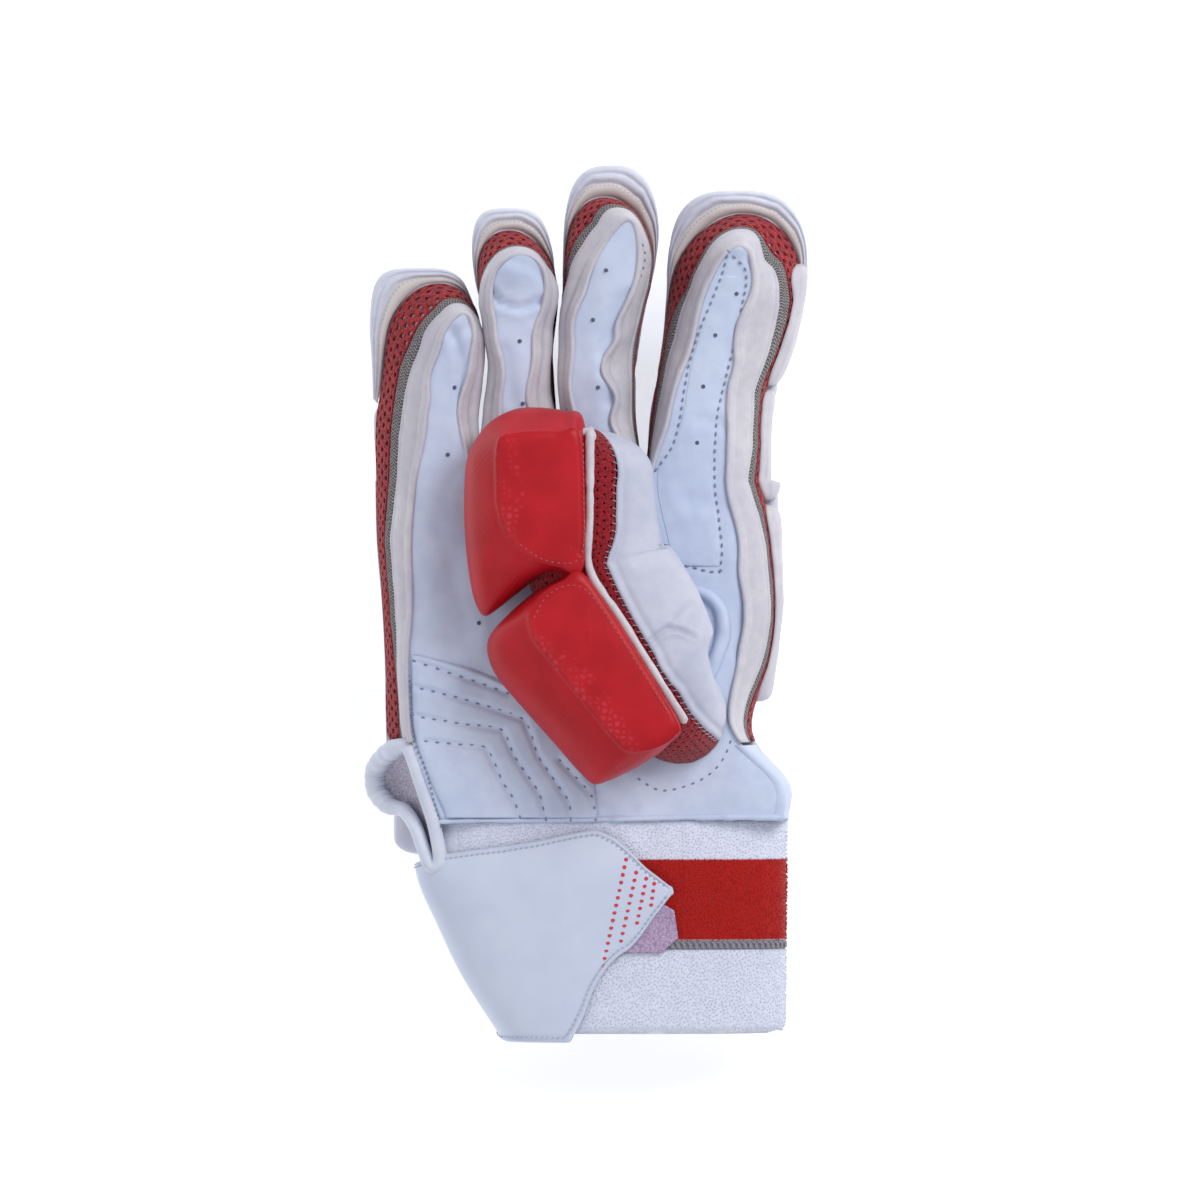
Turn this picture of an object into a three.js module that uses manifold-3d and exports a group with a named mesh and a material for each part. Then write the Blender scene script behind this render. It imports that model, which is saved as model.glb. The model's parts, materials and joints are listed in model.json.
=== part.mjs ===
// A right-hand cricket batting glove, lying on its back with the palm up.
//
// The hand is a thin hollow box. A leather palm sheet faces up and a fabric sheet closes the back.
// Between them each finger has a side wall that runs up one side, round the tip and down the other,
// in three bands: white leather, grey tape and red mesh. Foam guards lie under the back sheet, and
// the thumb stall crosses over the palm with two red guards of its own. A terry cuff closes the
// wrist, held by a wide strap. The walls, the fingers, the thumb and the cuff are all hollow.
//
// Millimetres, +Z up. x = 0 is the middle of the palm, y = 0 the line of the knuckles, and z = 0
// the surface that the guards rest on. The group is moved at the end, so that its origin is the
// middle of its underside.

import * as THREE from "three";
import { mergeVertices } from "three/addons/utils/BufferGeometryUtils.js";
import Module from "manifold-3d";

// Driving sizes
const FINGER_WIDTH = 34.5; // one finger across its guard; the palm follows from four of them
const PALM_LENGTH = 117; // knuckle line to the seam of the cuff
const LITTLE_LENGTH = 73.5; // knuckle line to the tip of the finger's guard
const RING_LENGTH = 94;
const MIDDLE_LENGTH = 108.5;
const INDEX_LENGTH = 100;
const CURL_RISE = 24; // how far a finger as long as CURL_SPAN lifts its tip
const CURL_SPAN = 100;
const HAND_DEPTH = 27; // height of the side walls
const LEATHER = 1.6; // thickness of leather, mesh and tape
const WELT_HEIGHT = 0.8; // how far the seam stands above the palm
const GUARD_THICKNESS = 17; // foam on the back of the hand
const GUARD_SPLIT = 1.4; // crease between two guards
const CUFF_LENGTH = 74;
const CUFF_MOUTH_WIDTH = 96; // flat width of the cuff at its lower edge
const CUFF_MOUTH_DEPTH = 31;
const CUFF_MOUTH_LIFT = 7; // height of the mouth's lower side above the surface
const CUFF_WALL = 3.2; // terry knit
const STRAP_THICKNESS = 2;
const HOOK_THICKNESS = 0.9;
const PATCH_THICKNESS = 1.3; // leather laid on the palm and on the index finger
const THUMB_WIDTH = 42;
const THUMB_DEPTH = 31;
const THUMB_TIP_LENGTH = 48; // joint of the thumb to its tip
const THUMB_ROOT_LENGTH = 38; // joint of the thumb to the fold at its root
const THUMB_ROOT_REACH = 38; // length of the hole in the palm that the thumb opens into
const THUMB_LEAN = 32; // degrees that the lower half leans over the palm
const THUMB_GUARD_HEIGHT = 7; // foam above the stall
const THUMB_GUARD_WIDTH = 41;
const PIPING_RADIUS = 1.5;
const PIPING_SHIFT = 0.8; // from the joint's line towards the index finger
const BINDING_RADIUS = 2.3;
const GAP = 0.3; // clearance between neighbouring pieces

// Heights that follow from them
const SHEET_TOP = GUARD_THICKNESS + GAP + LEATHER; // upper face of the back sheet
const WALL_FOOT = SHEET_TOP + GAP;
const PALM_TOP = WALL_FOOT + HAND_DEPTH;

// The fingers. All x values, here and in the tables of rows, are shares of FINGER_WIDTH. base is
// where the finger's axis crosses the knuckle line, and lean how far it moves sideways over the
// finger's length. face_reach and back_reach are the lengths of the leather face and of the wall's
// foot, as shares of the finger's length. In each row, along is a share of those lengths; mid and
// half are the middle and half the width of the leather face, the wall's foot and the guard.
const FINGER_COLUMNS = ["along", "face_mid", "face_half", "back_mid", "back_half", "guard_mid", "guard_half"];
const named = (columns, row) => Object.fromEntries(columns.map((name, i) => [name, row[i]]));
const table = (columns, rows) => rows.map((row) => named(columns, row));
const FINGERS = [
  {
    name: "little", length: LITTLE_LENGTH, base: -1.425, lean: -0.2, face_reach: 0.79, back_reach: 0.93,
    rows: table(FINGER_COLUMNS, [
      [0.0, 0.0, 0.33, -0.19, 0.52, -0.18, 0.5],
      [0.25, 0.02, 0.22, -0.16, 0.51, -0.16, 0.51],
      [0.5, 0.08, 0.2, -0.05, 0.51, -0.1, 0.54],
      [0.75, 0.21, 0.21, 0.02, 0.47, -0.08, 0.53],
      [1.0, 0.35, 0.2, 0.12, 0.4, -0.07, 0.46],
    ]),
  },
  {
    name: "ring", length: RING_LENGTH, base: -0.675, lean: -0.12, face_reach: 0.83, back_reach: 0.92,
    rows: table(FINGER_COLUMNS, [
      [0.0, 0.0, 0.41, 0.0, 0.41, 0.0, 0.4],
      [0.25, -0.01, 0.2, 0.03, 0.36, 0.03, 0.35],
      [0.5, 0.01, 0.17, 0.07, 0.31, 0.07, 0.3],
      [0.75, 0.05, 0.28, 0.07, 0.39, 0.03, 0.4],
      [1.0, 0.12, 0.4, 0.0, 0.4, 0.0, 0.4],
    ]),
  },
  {
    name: "middle", length: MIDDLE_LENGTH, base: 0.155, lean: 0.04, face_reach: 0.83, back_reach: 0.9,
    rows: table(FINGER_COLUMNS, [
      [0.0, 0.0, 0.41, 0.0, 0.41, 0.0, 0.4],
      [0.25, -0.1, 0.23, -0.06, 0.36, -0.05, 0.36],
      [0.5, -0.15, 0.22, -0.06, 0.39, -0.03, 0.4],
      [0.75, 0.05, 0.27, 0.03, 0.44, 0.05, 0.47],
      [1.0, 0.22, 0.22, -0.02, 0.43, 0.04, 0.47],
    ]),
  },
  {
    name: "index", length: INDEX_LENGTH, base: 1.045, lean: 0.43, face_reach: 0.81, back_reach: 0.92,
    rows: table(FINGER_COLUMNS, [
      [0.0, -0.035, 0.425, 0.13, 0.59, 0.17, 0.62],
      [0.25, -0.04, 0.33, 0.05, 0.55, 0.1, 0.61],
      [0.5, -0.01, 0.27, 0.11, 0.6, 0.17, 0.67],
      [0.75, 0.06, 0.25, 0.14, 0.64, 0.14, 0.7],
      [1.0, 0.12, 0.28, 0.13, 0.55, 0.02, 0.64],
    ]),
  },
];

// The palm below the knuckle line. down is a share of PALM_LENGTH, the x values are shares of
// FINGER_WIDTH: the edges of the palm leather and of the back sheet.
const PALM_ROWS = [
  { down: 0.0, face_left: -1.755, back_left: -2.135, face_right: 1.435, back_right: 1.765 },
  { down: 0.18, face_left: -1.8, back_left: -2.12, face_right: 1.53, back_right: 1.83 },
  { down: 0.36, face_left: -1.79, back_left: -2.07, face_right: 1.59, back_right: 1.88 },
  { down: 0.53, face_left: -1.83, back_left: -2.04, face_right: 1.54, back_right: 1.83 },
  { down: 0.7, face_left: -1.82, back_left: -2.03, face_right: 1.45, back_right: 1.66 },
  { down: 0.78, face_left: -1.78, back_left: -2.02, face_right: 1.58, back_right: 1.7 },
  { down: 0.9, face_left: -1.64, back_left: -1.98, face_right: 1.95, back_right: 2.04 },
  { down: 1.0, face_left: -1.5, back_left: -1.93, face_right: 1.96, back_right: 2.02 },
];
const PALM_STEPS = [0.09, 0.18, 0.27, 0.36, 0.45, 0.53, 0.62, 0.7, 0.78, 0.84, 0.9, 0.95, 1];
const WALL_STEPS = 9; // how many of those steps the finger walls run down, to the wrist slit

// The bands of a side wall, as shares of its height from the palm's seam down to its foot.
const BANDS = { gusset: [0, 0.38], tape: [0.38, 0.55], mesh: [0.55, 1] };
const SHOULDER = { left: 1.35, right: 2.6 }; // above 1 the wall slants at the seam and then steepens
const TIP_START = 0.75; // share of a finger's length where its round tip begins
const TIP_ANGLES = [22, 45, 68];
const TIP_POWER = { face: 2, back: 2.2, guard: 2.7 }; // 2 is a round tip, more is blunter

// The section of a back guard: across is a share of its half width, deep of its thickness.
const GUARD_SECTION = [
  { across: -0.94, deep: 0 }, { across: 0.94, deep: 0 }, { across: 1, deep: 0.2 }, { across: 1, deep: 0.5 },
  { across: 0.88, deep: 0.82 }, { across: 0.62, deep: 1 }, { across: -0.62, deep: 1 },
  { across: -0.88, deep: 0.82 }, { across: -1, deep: 0.5 }, { across: -1, deep: 0.2 },
];
const GUARD_END = { inset: 0.9, thin: 0.72, run: 3 }; // how a guard rounds off over its last 3 mm
const KNUCKLE_GUARD = [0.0, 0.37]; // shares of a finger's length
const TIP_GUARD = [0.37, 1];
const HAND_GUARD = [0.0, 0.618]; // shares of PALM_LENGTH
const WRIST_GUARD = [0.618, 1.12];
// The edges of the four hand guards, side by side, at shares of PALM_LENGTH; then the wrist guard's.
const HAND_COLUMNS = [
  { at: 0, edges: [-2.14, -1.09, -0.26, 0.6, 1.93] },
  { at: 0.36, edges: [-2.08, -1.05, -0.24, 0.58, 1.96] },
  { at: 0.618, edges: [-2.03, -1.02, -0.23, 0.55, 1.86] },
];
const WRIST_EDGES = [-1.95, 1.5];

// The strap, as rows round the cuff. turn is the angle round the cuff's section, from -90 below,
// through 0 at the little finger's side, to 90 above; top and bottom are shares of CUFF_LENGTH.
const STRAP_ROWS = [
  { turn: -62, top: 0.3, bottom: 0.8 }, { turn: -40, top: 0.25, bottom: 0.9 },
  { turn: -22, top: 0.2, bottom: 1.0 }, { turn: 8, top: 0.2, bottom: 1.04 },
  { turn: 64, top: 0.12, bottom: 1.04 }, { turn: 75, top: 0.095, bottom: 0.9 },
  { turn: 89, top: 0.04, bottom: 0.64 }, { turn: 97, top: 0.215, bottom: 0.46 },
  { turn: 104, top: 0.315, bottom: 0.335 },
];
const HOOK_ROWS = [
  { turn: 66, top: 0.36, bottom: 0.62 }, { turn: 84, top: 0.36, bottom: 0.62 },
  { turn: 98, top: 0.36, bottom: 0.62 }, { turn: 104, top: 0.42, bottom: 0.55 },
];

// The stall of the thumb, from its root to its tip. turn is the angle by which a ring has turned
// from lying on the palm to standing upright; along is its distance from the joint, as a share of
// THUMB_ROOT_LENGTH on the root's side and of THUMB_TIP_LENGTH on the tip's; half is half its width and
// swell what it gains towards the index finger, as shares of THUMB_WIDTH; seam is the angle round
// the ring at which the leather ends and the mesh begins.
const THUMB_ROWS = table(["turn", "along", "half", "swell", "seam"], [
  [0, -1, 0.4, 0, 68],
  [25, -1, 0.43, 0.02, 64],
  [50, -1, 0.46, 0.05, 64],
  [72, -1, 0.49, 0.09, 68],
  [90, -0.98, 0.5, 0.14, 76],
  [90, -0.5, 0.5, 0.18, 82],
  [90, -0.02, 0.5, 0.17, 78],
  [90, 0.5, 0.5, 0.08, 62],
  [90, 1, 0.5, 0.04, 58],
]);
const THUMB_TIP_ANGLES = [25, 48, 68, 86];
const JOINT_DOWN = 0.265; // how far below the knuckles the joint lies, as a share of PALM_LENGTH
const THUMB_CLEAR = 1; // the stall's underside above the palm
const MESH_END = 192;
const MESH_SEAM = 1.2; // degrees that the leather stops short of the mesh
const WEDGE_SIDES = 6;
const WEDGE_REACH = 1.6;
const WEDGE_DROP = 4;

// The outlines of the thumb's guards seen from above, from the joint of the thumb. along runs to
// the tip for the upper guard and to the root for the lower one, across runs over the palm, and
// both are shares of THUMB_GUARD_WIDTH. The slices give each level's draw towards the crown.
const TIP_GUARD_OUTLINE = [
  { along: 0.02, across: 0.0 }, { along: -0.03, across: 0.36 }, { along: -0.22, across: 0.62 },
  { along: -0.38, across: 0.85 }, { along: -0.22, across: 0.95 }, { along: 0.15, across: 1.01 },
  { along: 0.55, across: 1.03 }, { along: 0.95, across: 1.0 }, { along: 1.22, across: 0.83 },
  { along: 1.35, across: 0.57 }, { along: 1.33, across: 0.2 }, { along: 1.2, across: 0.02 },
];
const ROOT_GUARD_OUTLINE = [
  { along: 0.04, across: 0.0 }, { along: 1.42, across: 0.0 }, { along: 1.6, across: 0.2 },
  { along: 1.62, across: 0.52 }, { along: 1.57, across: 0.87 }, { along: 1.44, across: 0.94 },
  { along: 1.06, across: 1.0 }, { along: 0.4, across: 1.11 }, { along: 0.14, across: 1.07 },
  { along: 0.02, across: 0.95 }, { along: -0.06, across: 0.62 }, { along: -0.07, across: 0.35 },
];
const THUMB_GUARD_SLICES = [
  { level: 0.1, draw: 0.13 }, { level: 0.24, draw: 0.01 }, { level: 0.5, draw: 0.01 },
  { level: 0.76, draw: 0.08 }, { level: 0.92, draw: 0.17 }, { level: 1, draw: 0.32 },
];
const TIP_GUARD_CROWN = { along: 0.3, across: 0.34 };
const ROOT_GUARD_CROWN = { along: 0.4, across: 0.36 };

const wasm = await Module();
wasm.setup();

const point = (x, y, z) => new THREE.Vector3(x, y, z);
const mix = (a, b, share) => a.clone().lerp(b, share);
const radians = THREE.MathUtils.degToRad;

// A smooth curve through one named column of a table, read at a share of another.
function sample(rows, key, column, at) {
  const last = rows.length - 1;
  let i = 0;
  while (i < last - 1 && at > rows[i + 1][key]) i += 1;
  const slope = (j) => {
    const low = rows[Math.max(j - 1, 0)];
    const high = rows[Math.min(j + 1, last)];
    return (high[column] - low[column]) / (high[key] - low[key]);
  };
  const span = rows[i + 1][key] - rows[i][key];
  const t = (at - rows[i][key]) / span;
  const blend = t * t * (3 - 2 * t);
  const start = t * (1 - t) * (1 - t) * span * slope(i);
  const end = t * t * (t - 1) * span * slope(i + 1);
  return rows[i][column] * (1 - blend) + rows[i + 1][column] * blend + start + end;
}

// The same column with straight lines between its rows.
function straight(rows, key, column, at) {
  let i = 0;
  while (i < rows.length - 2 && at > rows[i + 1][key]) i += 1;
  const share = (at - rows[i][key]) / (rows[i + 1][key] - rows[i][key]);
  return THREE.MathUtils.lerp(rows[i][column], rows[i + 1][column], share);
}

// A closed solid through rings of points, with flat ends, or with none where the rings close.
function loft(rings, closed = false) {
  const count = rings[0].length;
  const points = rings.flat();
  const faces = [];
  const steps = closed ? rings.length : rings.length - 1;
  for (let r = 0; r < steps; r += 1) {
    for (let i = 0; i < count; i += 1) {
      const a = r * count + i;
      const b = r * count + ((i + 1) % count);
      const c = ((r + 1) % rings.length) * count + i;
      const d = ((r + 1) % rings.length) * count + ((i + 1) % count);
      faces.push([a, b, d], [a, d, c]);
    }
  }
  if (!closed) {
    for (const [start, turned] of [[0, true], [(rings.length - 1) * count, false]]) {
      const middle = new THREE.Vector3();
      for (let i = 0; i < count; i += 1) middle.addScaledVector(points[start + i], 1 / count);
      const hub = points.push(middle) - 1;
      for (let i = 0; i < count; i += 1) {
        const a = start + i;
        const b = start + ((i + 1) % count);
        faces.push(turned ? [b, a, hub] : [a, b, hub]);
      }
    }
  }
  return closedGeometry(points, faces);
}

// A sheet: its upper face is made of grids of points that share their edges, and drop gives the
// point of the lower face under each point of the upper one.
function slab(grids, drop) {
  const points = [];
  const found = new Map();
  const index = (p) => {
    const key = [p.x, p.y, p.z].map((v) => Math.round(v * 1e4)).join();
    if (!found.has(key)) found.set(key, points.push(p) - 1);
    return found.get(key);
  };
  const upper = [];
  for (const grid of grids) {
    for (let r = 0; r + 1 < grid.length; r += 1) {
      for (let c = 0; c + 1 < grid[r].length; c += 1) {
        const corners = [grid[r][c], grid[r][c + 1], grid[r + 1][c], grid[r + 1][c + 1]];
        const [a, b, d, e] = corners.map(index);
        upper.push([a, b, e], [a, e, d]);
      }
    }
  }
  const whole = upper.filter(([a, b, c]) => a !== b && b !== c && a !== c);
  const count = points.length;
  for (let i = 0; i < count; i += 1) points.push(drop(points[i]));
  const edges = new Set(whole.flatMap(([a, b, c]) => [a + "," + b, b + "," + c, c + "," + a]));
  const faces = [...whole, ...whole.map(([a, b, c]) => [a + count, c + count, b + count])];
  for (const edge of edges) {
    const [a, b] = edge.split(",").map(Number);
    if (!edges.has(b + "," + a)) faces.push([b, a, a + count], [b, a + count, b + count]);
  }
  return closedGeometry(points, faces);
}

// A geometry of these triangles, turned so that they face out.
function closedGeometry(points, faces) {
  let volume = 0;
  for (const [a, b, c] of faces) volume += points[a].dot(points[b].clone().cross(points[c]));
  const turned = volume < 0 ? faces.map(([a, b, c]) => [a, c, b]) : faces;
  const geometry = new THREE.BufferGeometry().setFromPoints(points);
  geometry.setIndex(turned.flat());
  return geometry;
}

function toSolid(geometry) {
  const merged = mergeVertices(geometry, 1e-4);
  const vertProperties = merged.attributes.position.array;
  const triVerts = new Uint32Array(merged.index.array);
  return new wasm.Manifold(new wasm.Mesh({ numProp: 3, vertProperties, triVerts }));
}

function fromSolid(solid) {
  const mesh = solid.getMesh();
  const geometry = new THREE.BufferGeometry();
  geometry.setAttribute("position", new THREE.BufferAttribute(new Float32Array(mesh.vertProperties), 3));
  geometry.setIndex(new THREE.BufferAttribute(new Uint32Array(mesh.triVerts), 1));
  return geometry;
}

// Colour, roughness
const MATERIALS = {
  leather: [0xe9ebf2, 0.55],
  guard: [0xe6e6ec, 0.45],
  tape: [0x77706f, 0.85],
  mesh: [0xa31526, 0.8],
  fabric: [0xd9d9de, 0.85],
  foam: [0xc01f2c, 0.4],
  terry: [0xe4e6ee, 0.95],
  strap: [0xdfe3ec, 0.45],
  hook: [0xd9c3cf, 0.6],
};
for (const [name, [color, roughness]] of Object.entries(MATERIALS)) {
  MATERIALS[name] = new THREE.MeshStandardMaterial({ color, roughness, metalness: 0 });
}

const glove = new THREE.Group();
function addPiece(name, geometry, material) {
  const piece = new THREE.Mesh(geometry, MATERIALS[material]);
  piece.name = name;
  glove.add(piece);
}

// How far the curl of the fingers lifts a point that lies y past the knuckles.
const rise = (y) => (y > 0 ? CURL_RISE * (y / CURL_SPAN) ** 2 : 0);

// A finger's width shrinks to nothing over its round tip; a higher power makes a blunter tip.
function tipRound(along, power) {
  const share = Math.max(0, (along - TIP_START) / (1 - TIP_START));
  return Math.max(0, 1 - share ** power) ** (1 / power);
}

const FINGER_STEPS = [
  0, 0.15, 0.3, 0.45, 0.6, TIP_START,
  ...TIP_ANGLES.map((angle) => TIP_START + (1 - TIP_START) * Math.sin(radians(angle))),
  1,
];

// A point on the edge of a finger's leather face, of its wall's foot, or of its guard.
function fingerEdge(finger, layer, side, along) {
  const reach = finger.length * { face: finger.face_reach, back: finger.back_reach, guard: 1 }[layer];
  const y = reach * along;
  const bend = sample(finger.rows, "along", layer + "_mid", along);
  const middle = finger.base + (finger.lean * y) / finger.length + bend;
  const half = sample(finger.rows, "along", layer + "_half", along) * tipRound(along, TIP_POWER[layer]);
  const level = layer === "face" ? PALM_TOP : WALL_FOOT;
  return point((middle + side * half) * FINGER_WIDTH, y, level + rise(y));
}

function palmEdge(layer, side, down) {
  const column = layer + (side < 0 ? "_left" : "_right");
  const x = sample(PALM_ROWS, "down", column, down) * FINGER_WIDTH;
  return point(x, -down * PALM_LENGTH, layer === "face" ? PALM_TOP : WALL_FOOT);
}

// The outline of each finger, from the foot of its left side over the tip to the foot of its right
// side. The little finger's starts with the palm's left edge and the index finger's ends with the
// right one. Each point has a direction inwards, square to the outline.
function fingerOutline(finger, layer) {
  const points = [];
  if (finger.name === "little") {
    for (const down of [...PALM_STEPS].reverse()) points.push(palmEdge(layer, -1, down));
  }
  for (const along of FINGER_STEPS) points.push(fingerEdge(finger, layer, -1, along));
  for (const along of FINGER_STEPS.slice(0, -1).reverse()) points.push(fingerEdge(finger, layer, 1, along));
  if (finger.name === "index") {
    for (const down of PALM_STEPS) points.push(palmEdge(layer, 1, down));
  }
  const inwards = points.map((p, i) => {
    const before = points[Math.max(i - 1, 0)];
    const after = points[Math.min(i + 1, points.length - 1)];
    if (p.y <= 0) return point(after.y > before.y ? 1 : -1, 0, 0);
    return point(after.y - before.y, before.x - after.x, 0).normalize();
  });
  return points.map((p, i) => ({ at: p, inward: inwards[i] }));
}

const outlines = FINGERS.map((finger) => {
  const face = fingerOutline(finger, "face");
  const back = fingerOutline(finger, "back");
  const base = finger.name === "little" ? PALM_STEPS.length : 0; // where the finger itself begins
  return { finger, face, back, base };
});
const inset = ({ at, inward }, distance) => at.clone().addScaledVector(inward, distance);

// The palm and the back are each one sheet in the shape of the hand: a grid for every finger and
// one for the palm, joined along the knuckle line.
function handSheet(layer, edgeInset, level, drop) {
  const across = 4;
  const tip = FINGER_STEPS.length - 1;
  const row = (left, right) => Array.from({ length: across + 1 }, (_, i) => mix(left, right, i / across));
  const lift = (p) => point(p.x, p.y, p.z + level);
  const grids = outlines.map((outline) => {
    const edge = outline[layer];
    return FINGER_STEPS.map((_, k) => {
      const left = inset(edge[outline.base + k], edgeInset);
      const right = inset(edge[outline.base + 2 * tip - k], edgeInset);
      return row(lift(left), lift(right));
    });
  });
  const knuckles = grids.flatMap((grid) => grid[0]);
  const ends = [knuckles[0].x, knuckles[knuckles.length - 1].x];
  const little = outlines[0];
  const index = outlines[3];
  const body = [knuckles];
  for (let k = 1; k <= PALM_STEPS.length; k += 1) {
    const left = lift(inset(little[layer][little.base - k], edgeInset));
    const right = lift(inset(index[layer][2 * tip + k], edgeInset));
    body.push(knuckles.map((p) => mix(left, right, (p.x - ends[0]) / (ends[1] - ends[0]))));
  }
  return slab([...grids.map((grid) => [...grid].reverse()), body], drop);
}

// The side walls. Each band is a strip between two shares of the wall's height, LEATHER thick.
function wallPoint(face, back, share, distance) {
  const top = inset(face, distance);
  const foot = inset(back, distance);
  const turned = (1 - face.inward.x) / 2;
  const outward = 1 - (1 - share) ** THREE.MathUtils.lerp(SHOULDER.left, SHOULDER.right, turned);
  const across = mix(top, foot, outward);
  const height = top.z + WELT_HEIGHT + (foot.z - top.z - WELT_HEIGHT) * share;
  return point(across.x, across.y, height);
}

function wallBand(outline, from, to, first, last) {
  const rings = [];
  for (let i = first; i <= last; i += 1) {
    const [face, back] = [outline.face[i], outline.back[i]];
    rings.push([
      wallPoint(face, back, from, GAP / 2),
      wallPoint(face, back, to, GAP / 2),
      wallPoint(face, back, to, GAP / 2 + LEATHER),
      wallPoint(face, back, from, GAP / 2 + LEATHER),
    ]);
  }
  return loft(rings);
}

function addWalls() {
  for (const outline of outlines) {
    const name = outline.finger.name;
    const short = PALM_STEPS.length - WALL_STEPS;
    const first = name === "little" ? short : 0;
    const last = outline.face.length - 1 - (name === "index" ? short : 0);
    for (const [band, [from, to]] of Object.entries(BANDS)) {
      const start = from + (from > 0 ? GAP / HAND_DEPTH : 0);
      const material = band === "gusset" ? "leather" : band;
      addPiece(band + "_" + name, wallBand(outline, start, to, first, last), material);
    }
  }
  // Below the index finger's bands one piece of leather wraps the side of the wrist.
  const index = outlines[3];
  const end = index.face.length - 1;
  const wrap = wallBand(index, 0, 1, end - (PALM_STEPS.length - WALL_STEPS), end);
  wrap.computeBoundingBox();
  addPiece("wrist_side", trimmedTop(wrap), "leather");
}

// The wrist wrap without its first GAP, where the finger's bands end.
function trimmedTop(geometry) {
  const limit = -PALM_STEPS[WALL_STEPS - 1] * PALM_LENGTH - GAP;
  const reach = 4 * FINGER_WIDTH;
  const block = new THREE.BoxGeometry(2 * reach, reach, reach);
  block.deleteAttribute("normal").deleteAttribute("uv").translate(0, limit - reach / 2, PALM_TOP);
  return fromSolid(toSolid(geometry).intersect(toSolid(block)));
}

// The thumb. Its first rings turn from flat on the palm to upright, round a fold line on the palm,
// and the others run to the joint and on to the tip.
const LEAN = radians(THUMB_LEAN);
const joint = point(0, -JOINT_DOWN * PALM_LENGTH, 0);
const rootward = point(Math.sin(LEAN), -Math.cos(LEAN), 0);
const fold = joint.clone().addScaledVector(rootward, THUMB_ROOT_LENGTH).setZ(PALM_TOP + GAP);
const THUMB_SIDES = 20;

function thumbRing(row, grow, drop) {
  const share = row.turn / 90;
  const depth = THUMB_DEPTH / 2;
  const high = THREE.MathUtils.lerp(THUMB_ROOT_REACH / 2, depth, share);
  const out = rootward.clone().multiplyScalar(Math.cos(radians(row.turn))).setZ(Math.sin(radians(row.turn)));
  const heading = LEAN * THREE.MathUtils.clamp(-2.2 * row.along + 0.5, 0, 1);
  const across = point(Math.cos(heading), Math.sin(heading), 0);
  const centre = joint.clone().addScaledVector(across, (row.swell / 2) * THUMB_WIDTH).setZ(fold.z - drop);
  centre.addScaledVector(out, high + THUMB_CLEAR * share);
  if (row.along < 0) centre.addScaledVector(rootward, -row.along * THUMB_ROOT_LENGTH);
  else centre.y += row.along * (THUMB_TIP_LENGTH - depth);
  const shrink = Math.cos(radians(row.round ?? 0));
  centre.y += (depth + grow) * Math.sin(radians(row.round ?? 0));
  const half = ((row.half + row.swell / 2) * THUMB_WIDTH + grow) * shrink;
  const points = Array.from({ length: THUMB_SIDES }, (_, i) => {
    const angle = (i / THUMB_SIDES) * 2 * Math.PI;
    const wide = centre.clone().addScaledVector(across, half * Math.cos(angle));
    return wide.addScaledVector(out, (high + grow) * shrink * Math.sin(angle));
  });
  return { centre, across, out, points, seam: row.seam };
}

// The rings of the stall, grown or shrunk by some distance, and drawn down below the palm by drop.
function thumbRings(grow, drop) {
  const rings = THUMB_ROWS.map((row) => thumbRing(row, grow, 0));
  const last = THUMB_ROWS.at(-1);
  const tips = THUMB_TIP_ANGLES.map((round) => thumbRing({ ...last, round }, grow, 0));
  return [...(drop > 0 ? [thumbRing(THUMB_ROWS[0], grow, drop)] : []), ...rings, ...tips];
}

const thumbSolid = (grow, drop) => toSolid(loft(thumbRings(grow, drop).map((ring) => ring.points)));

// The part of the stall that is mesh, as a wedge round its axis: from its seam with the leather,
// under the guards and round to the palm, with margin more on both sides.
function meshWedge(margin) {
  const rings = thumbRings(0, WEDGE_DROP).map(({ centre, across, out, seam }) => {
    const ring = [centre.clone()];
    for (let k = 0; k <= WEDGE_SIDES; k += 1) {
      const angle = radians(THREE.MathUtils.lerp(seam - margin, MESH_END + margin, k / WEDGE_SIDES));
      const edge = centre.clone().addScaledVector(across, WEDGE_REACH * THUMB_WIDTH * Math.cos(angle));
      ring.push(edge.addScaledVector(out, WEDGE_REACH * THUMB_WIDTH * Math.sin(angle)));
    }
    return ring;
  });
  return toSolid(loft(rings));
}

function thumbGuard(outline, crown, toTip) {
  const alongAxis = toTip ? point(0, 1, 0) : rootward;
  const acrossAxis = toTip ? point(-1, 0, 0) : point(-Math.cos(LEAN), -Math.sin(LEAN), 0);
  const place = ({ along, across }) => {
    const lengthwise = joint.clone().addScaledVector(alongAxis, along * THUMB_GUARD_WIDTH);
    return lengthwise.addScaledVector(acrossAxis, across * THUMB_GUARD_WIDTH);
  };
  const top = fold.z + THUMB_CLEAR + THUMB_DEPTH + THUMB_GUARD_HEIGHT;
  const rings = THUMB_GUARD_SLICES.map(({ level, draw }) =>
    outline.map((row) => mix(place(row), place(crown), draw).setZ(fold.z + (top - fold.z) * level)),
  );
  return fromSolid(toSolid(loft(rings)).subtract(thumbSolid(GAP, WEDGE_DROP)));
}

// A round cord of leather along a curve.
function tube(points, radius, closed, steps, sides) {
  const curve = new THREE.CatmullRomCurve3(points, closed);
  const frames = curve.computeFrenetFrames(steps, closed);
  const rings = [];
  for (let i = 0; i < (closed ? steps : steps + 1); i += 1) {
    const centre = curve.getPointAt(i / steps);
    const ring = [];
    for (let k = 0; k < sides; k += 1) {
      const angle = (k / sides) * 2 * Math.PI;
      ring.push(
        centre.clone()
          .addScaledVector(frames.normals[i], radius * Math.cos(angle))
          .addScaledVector(frames.binormals[i], radius * Math.sin(angle)),
      );
    }
    rings.push(ring);
  }
  return loft(rings, closed);
}

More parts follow.
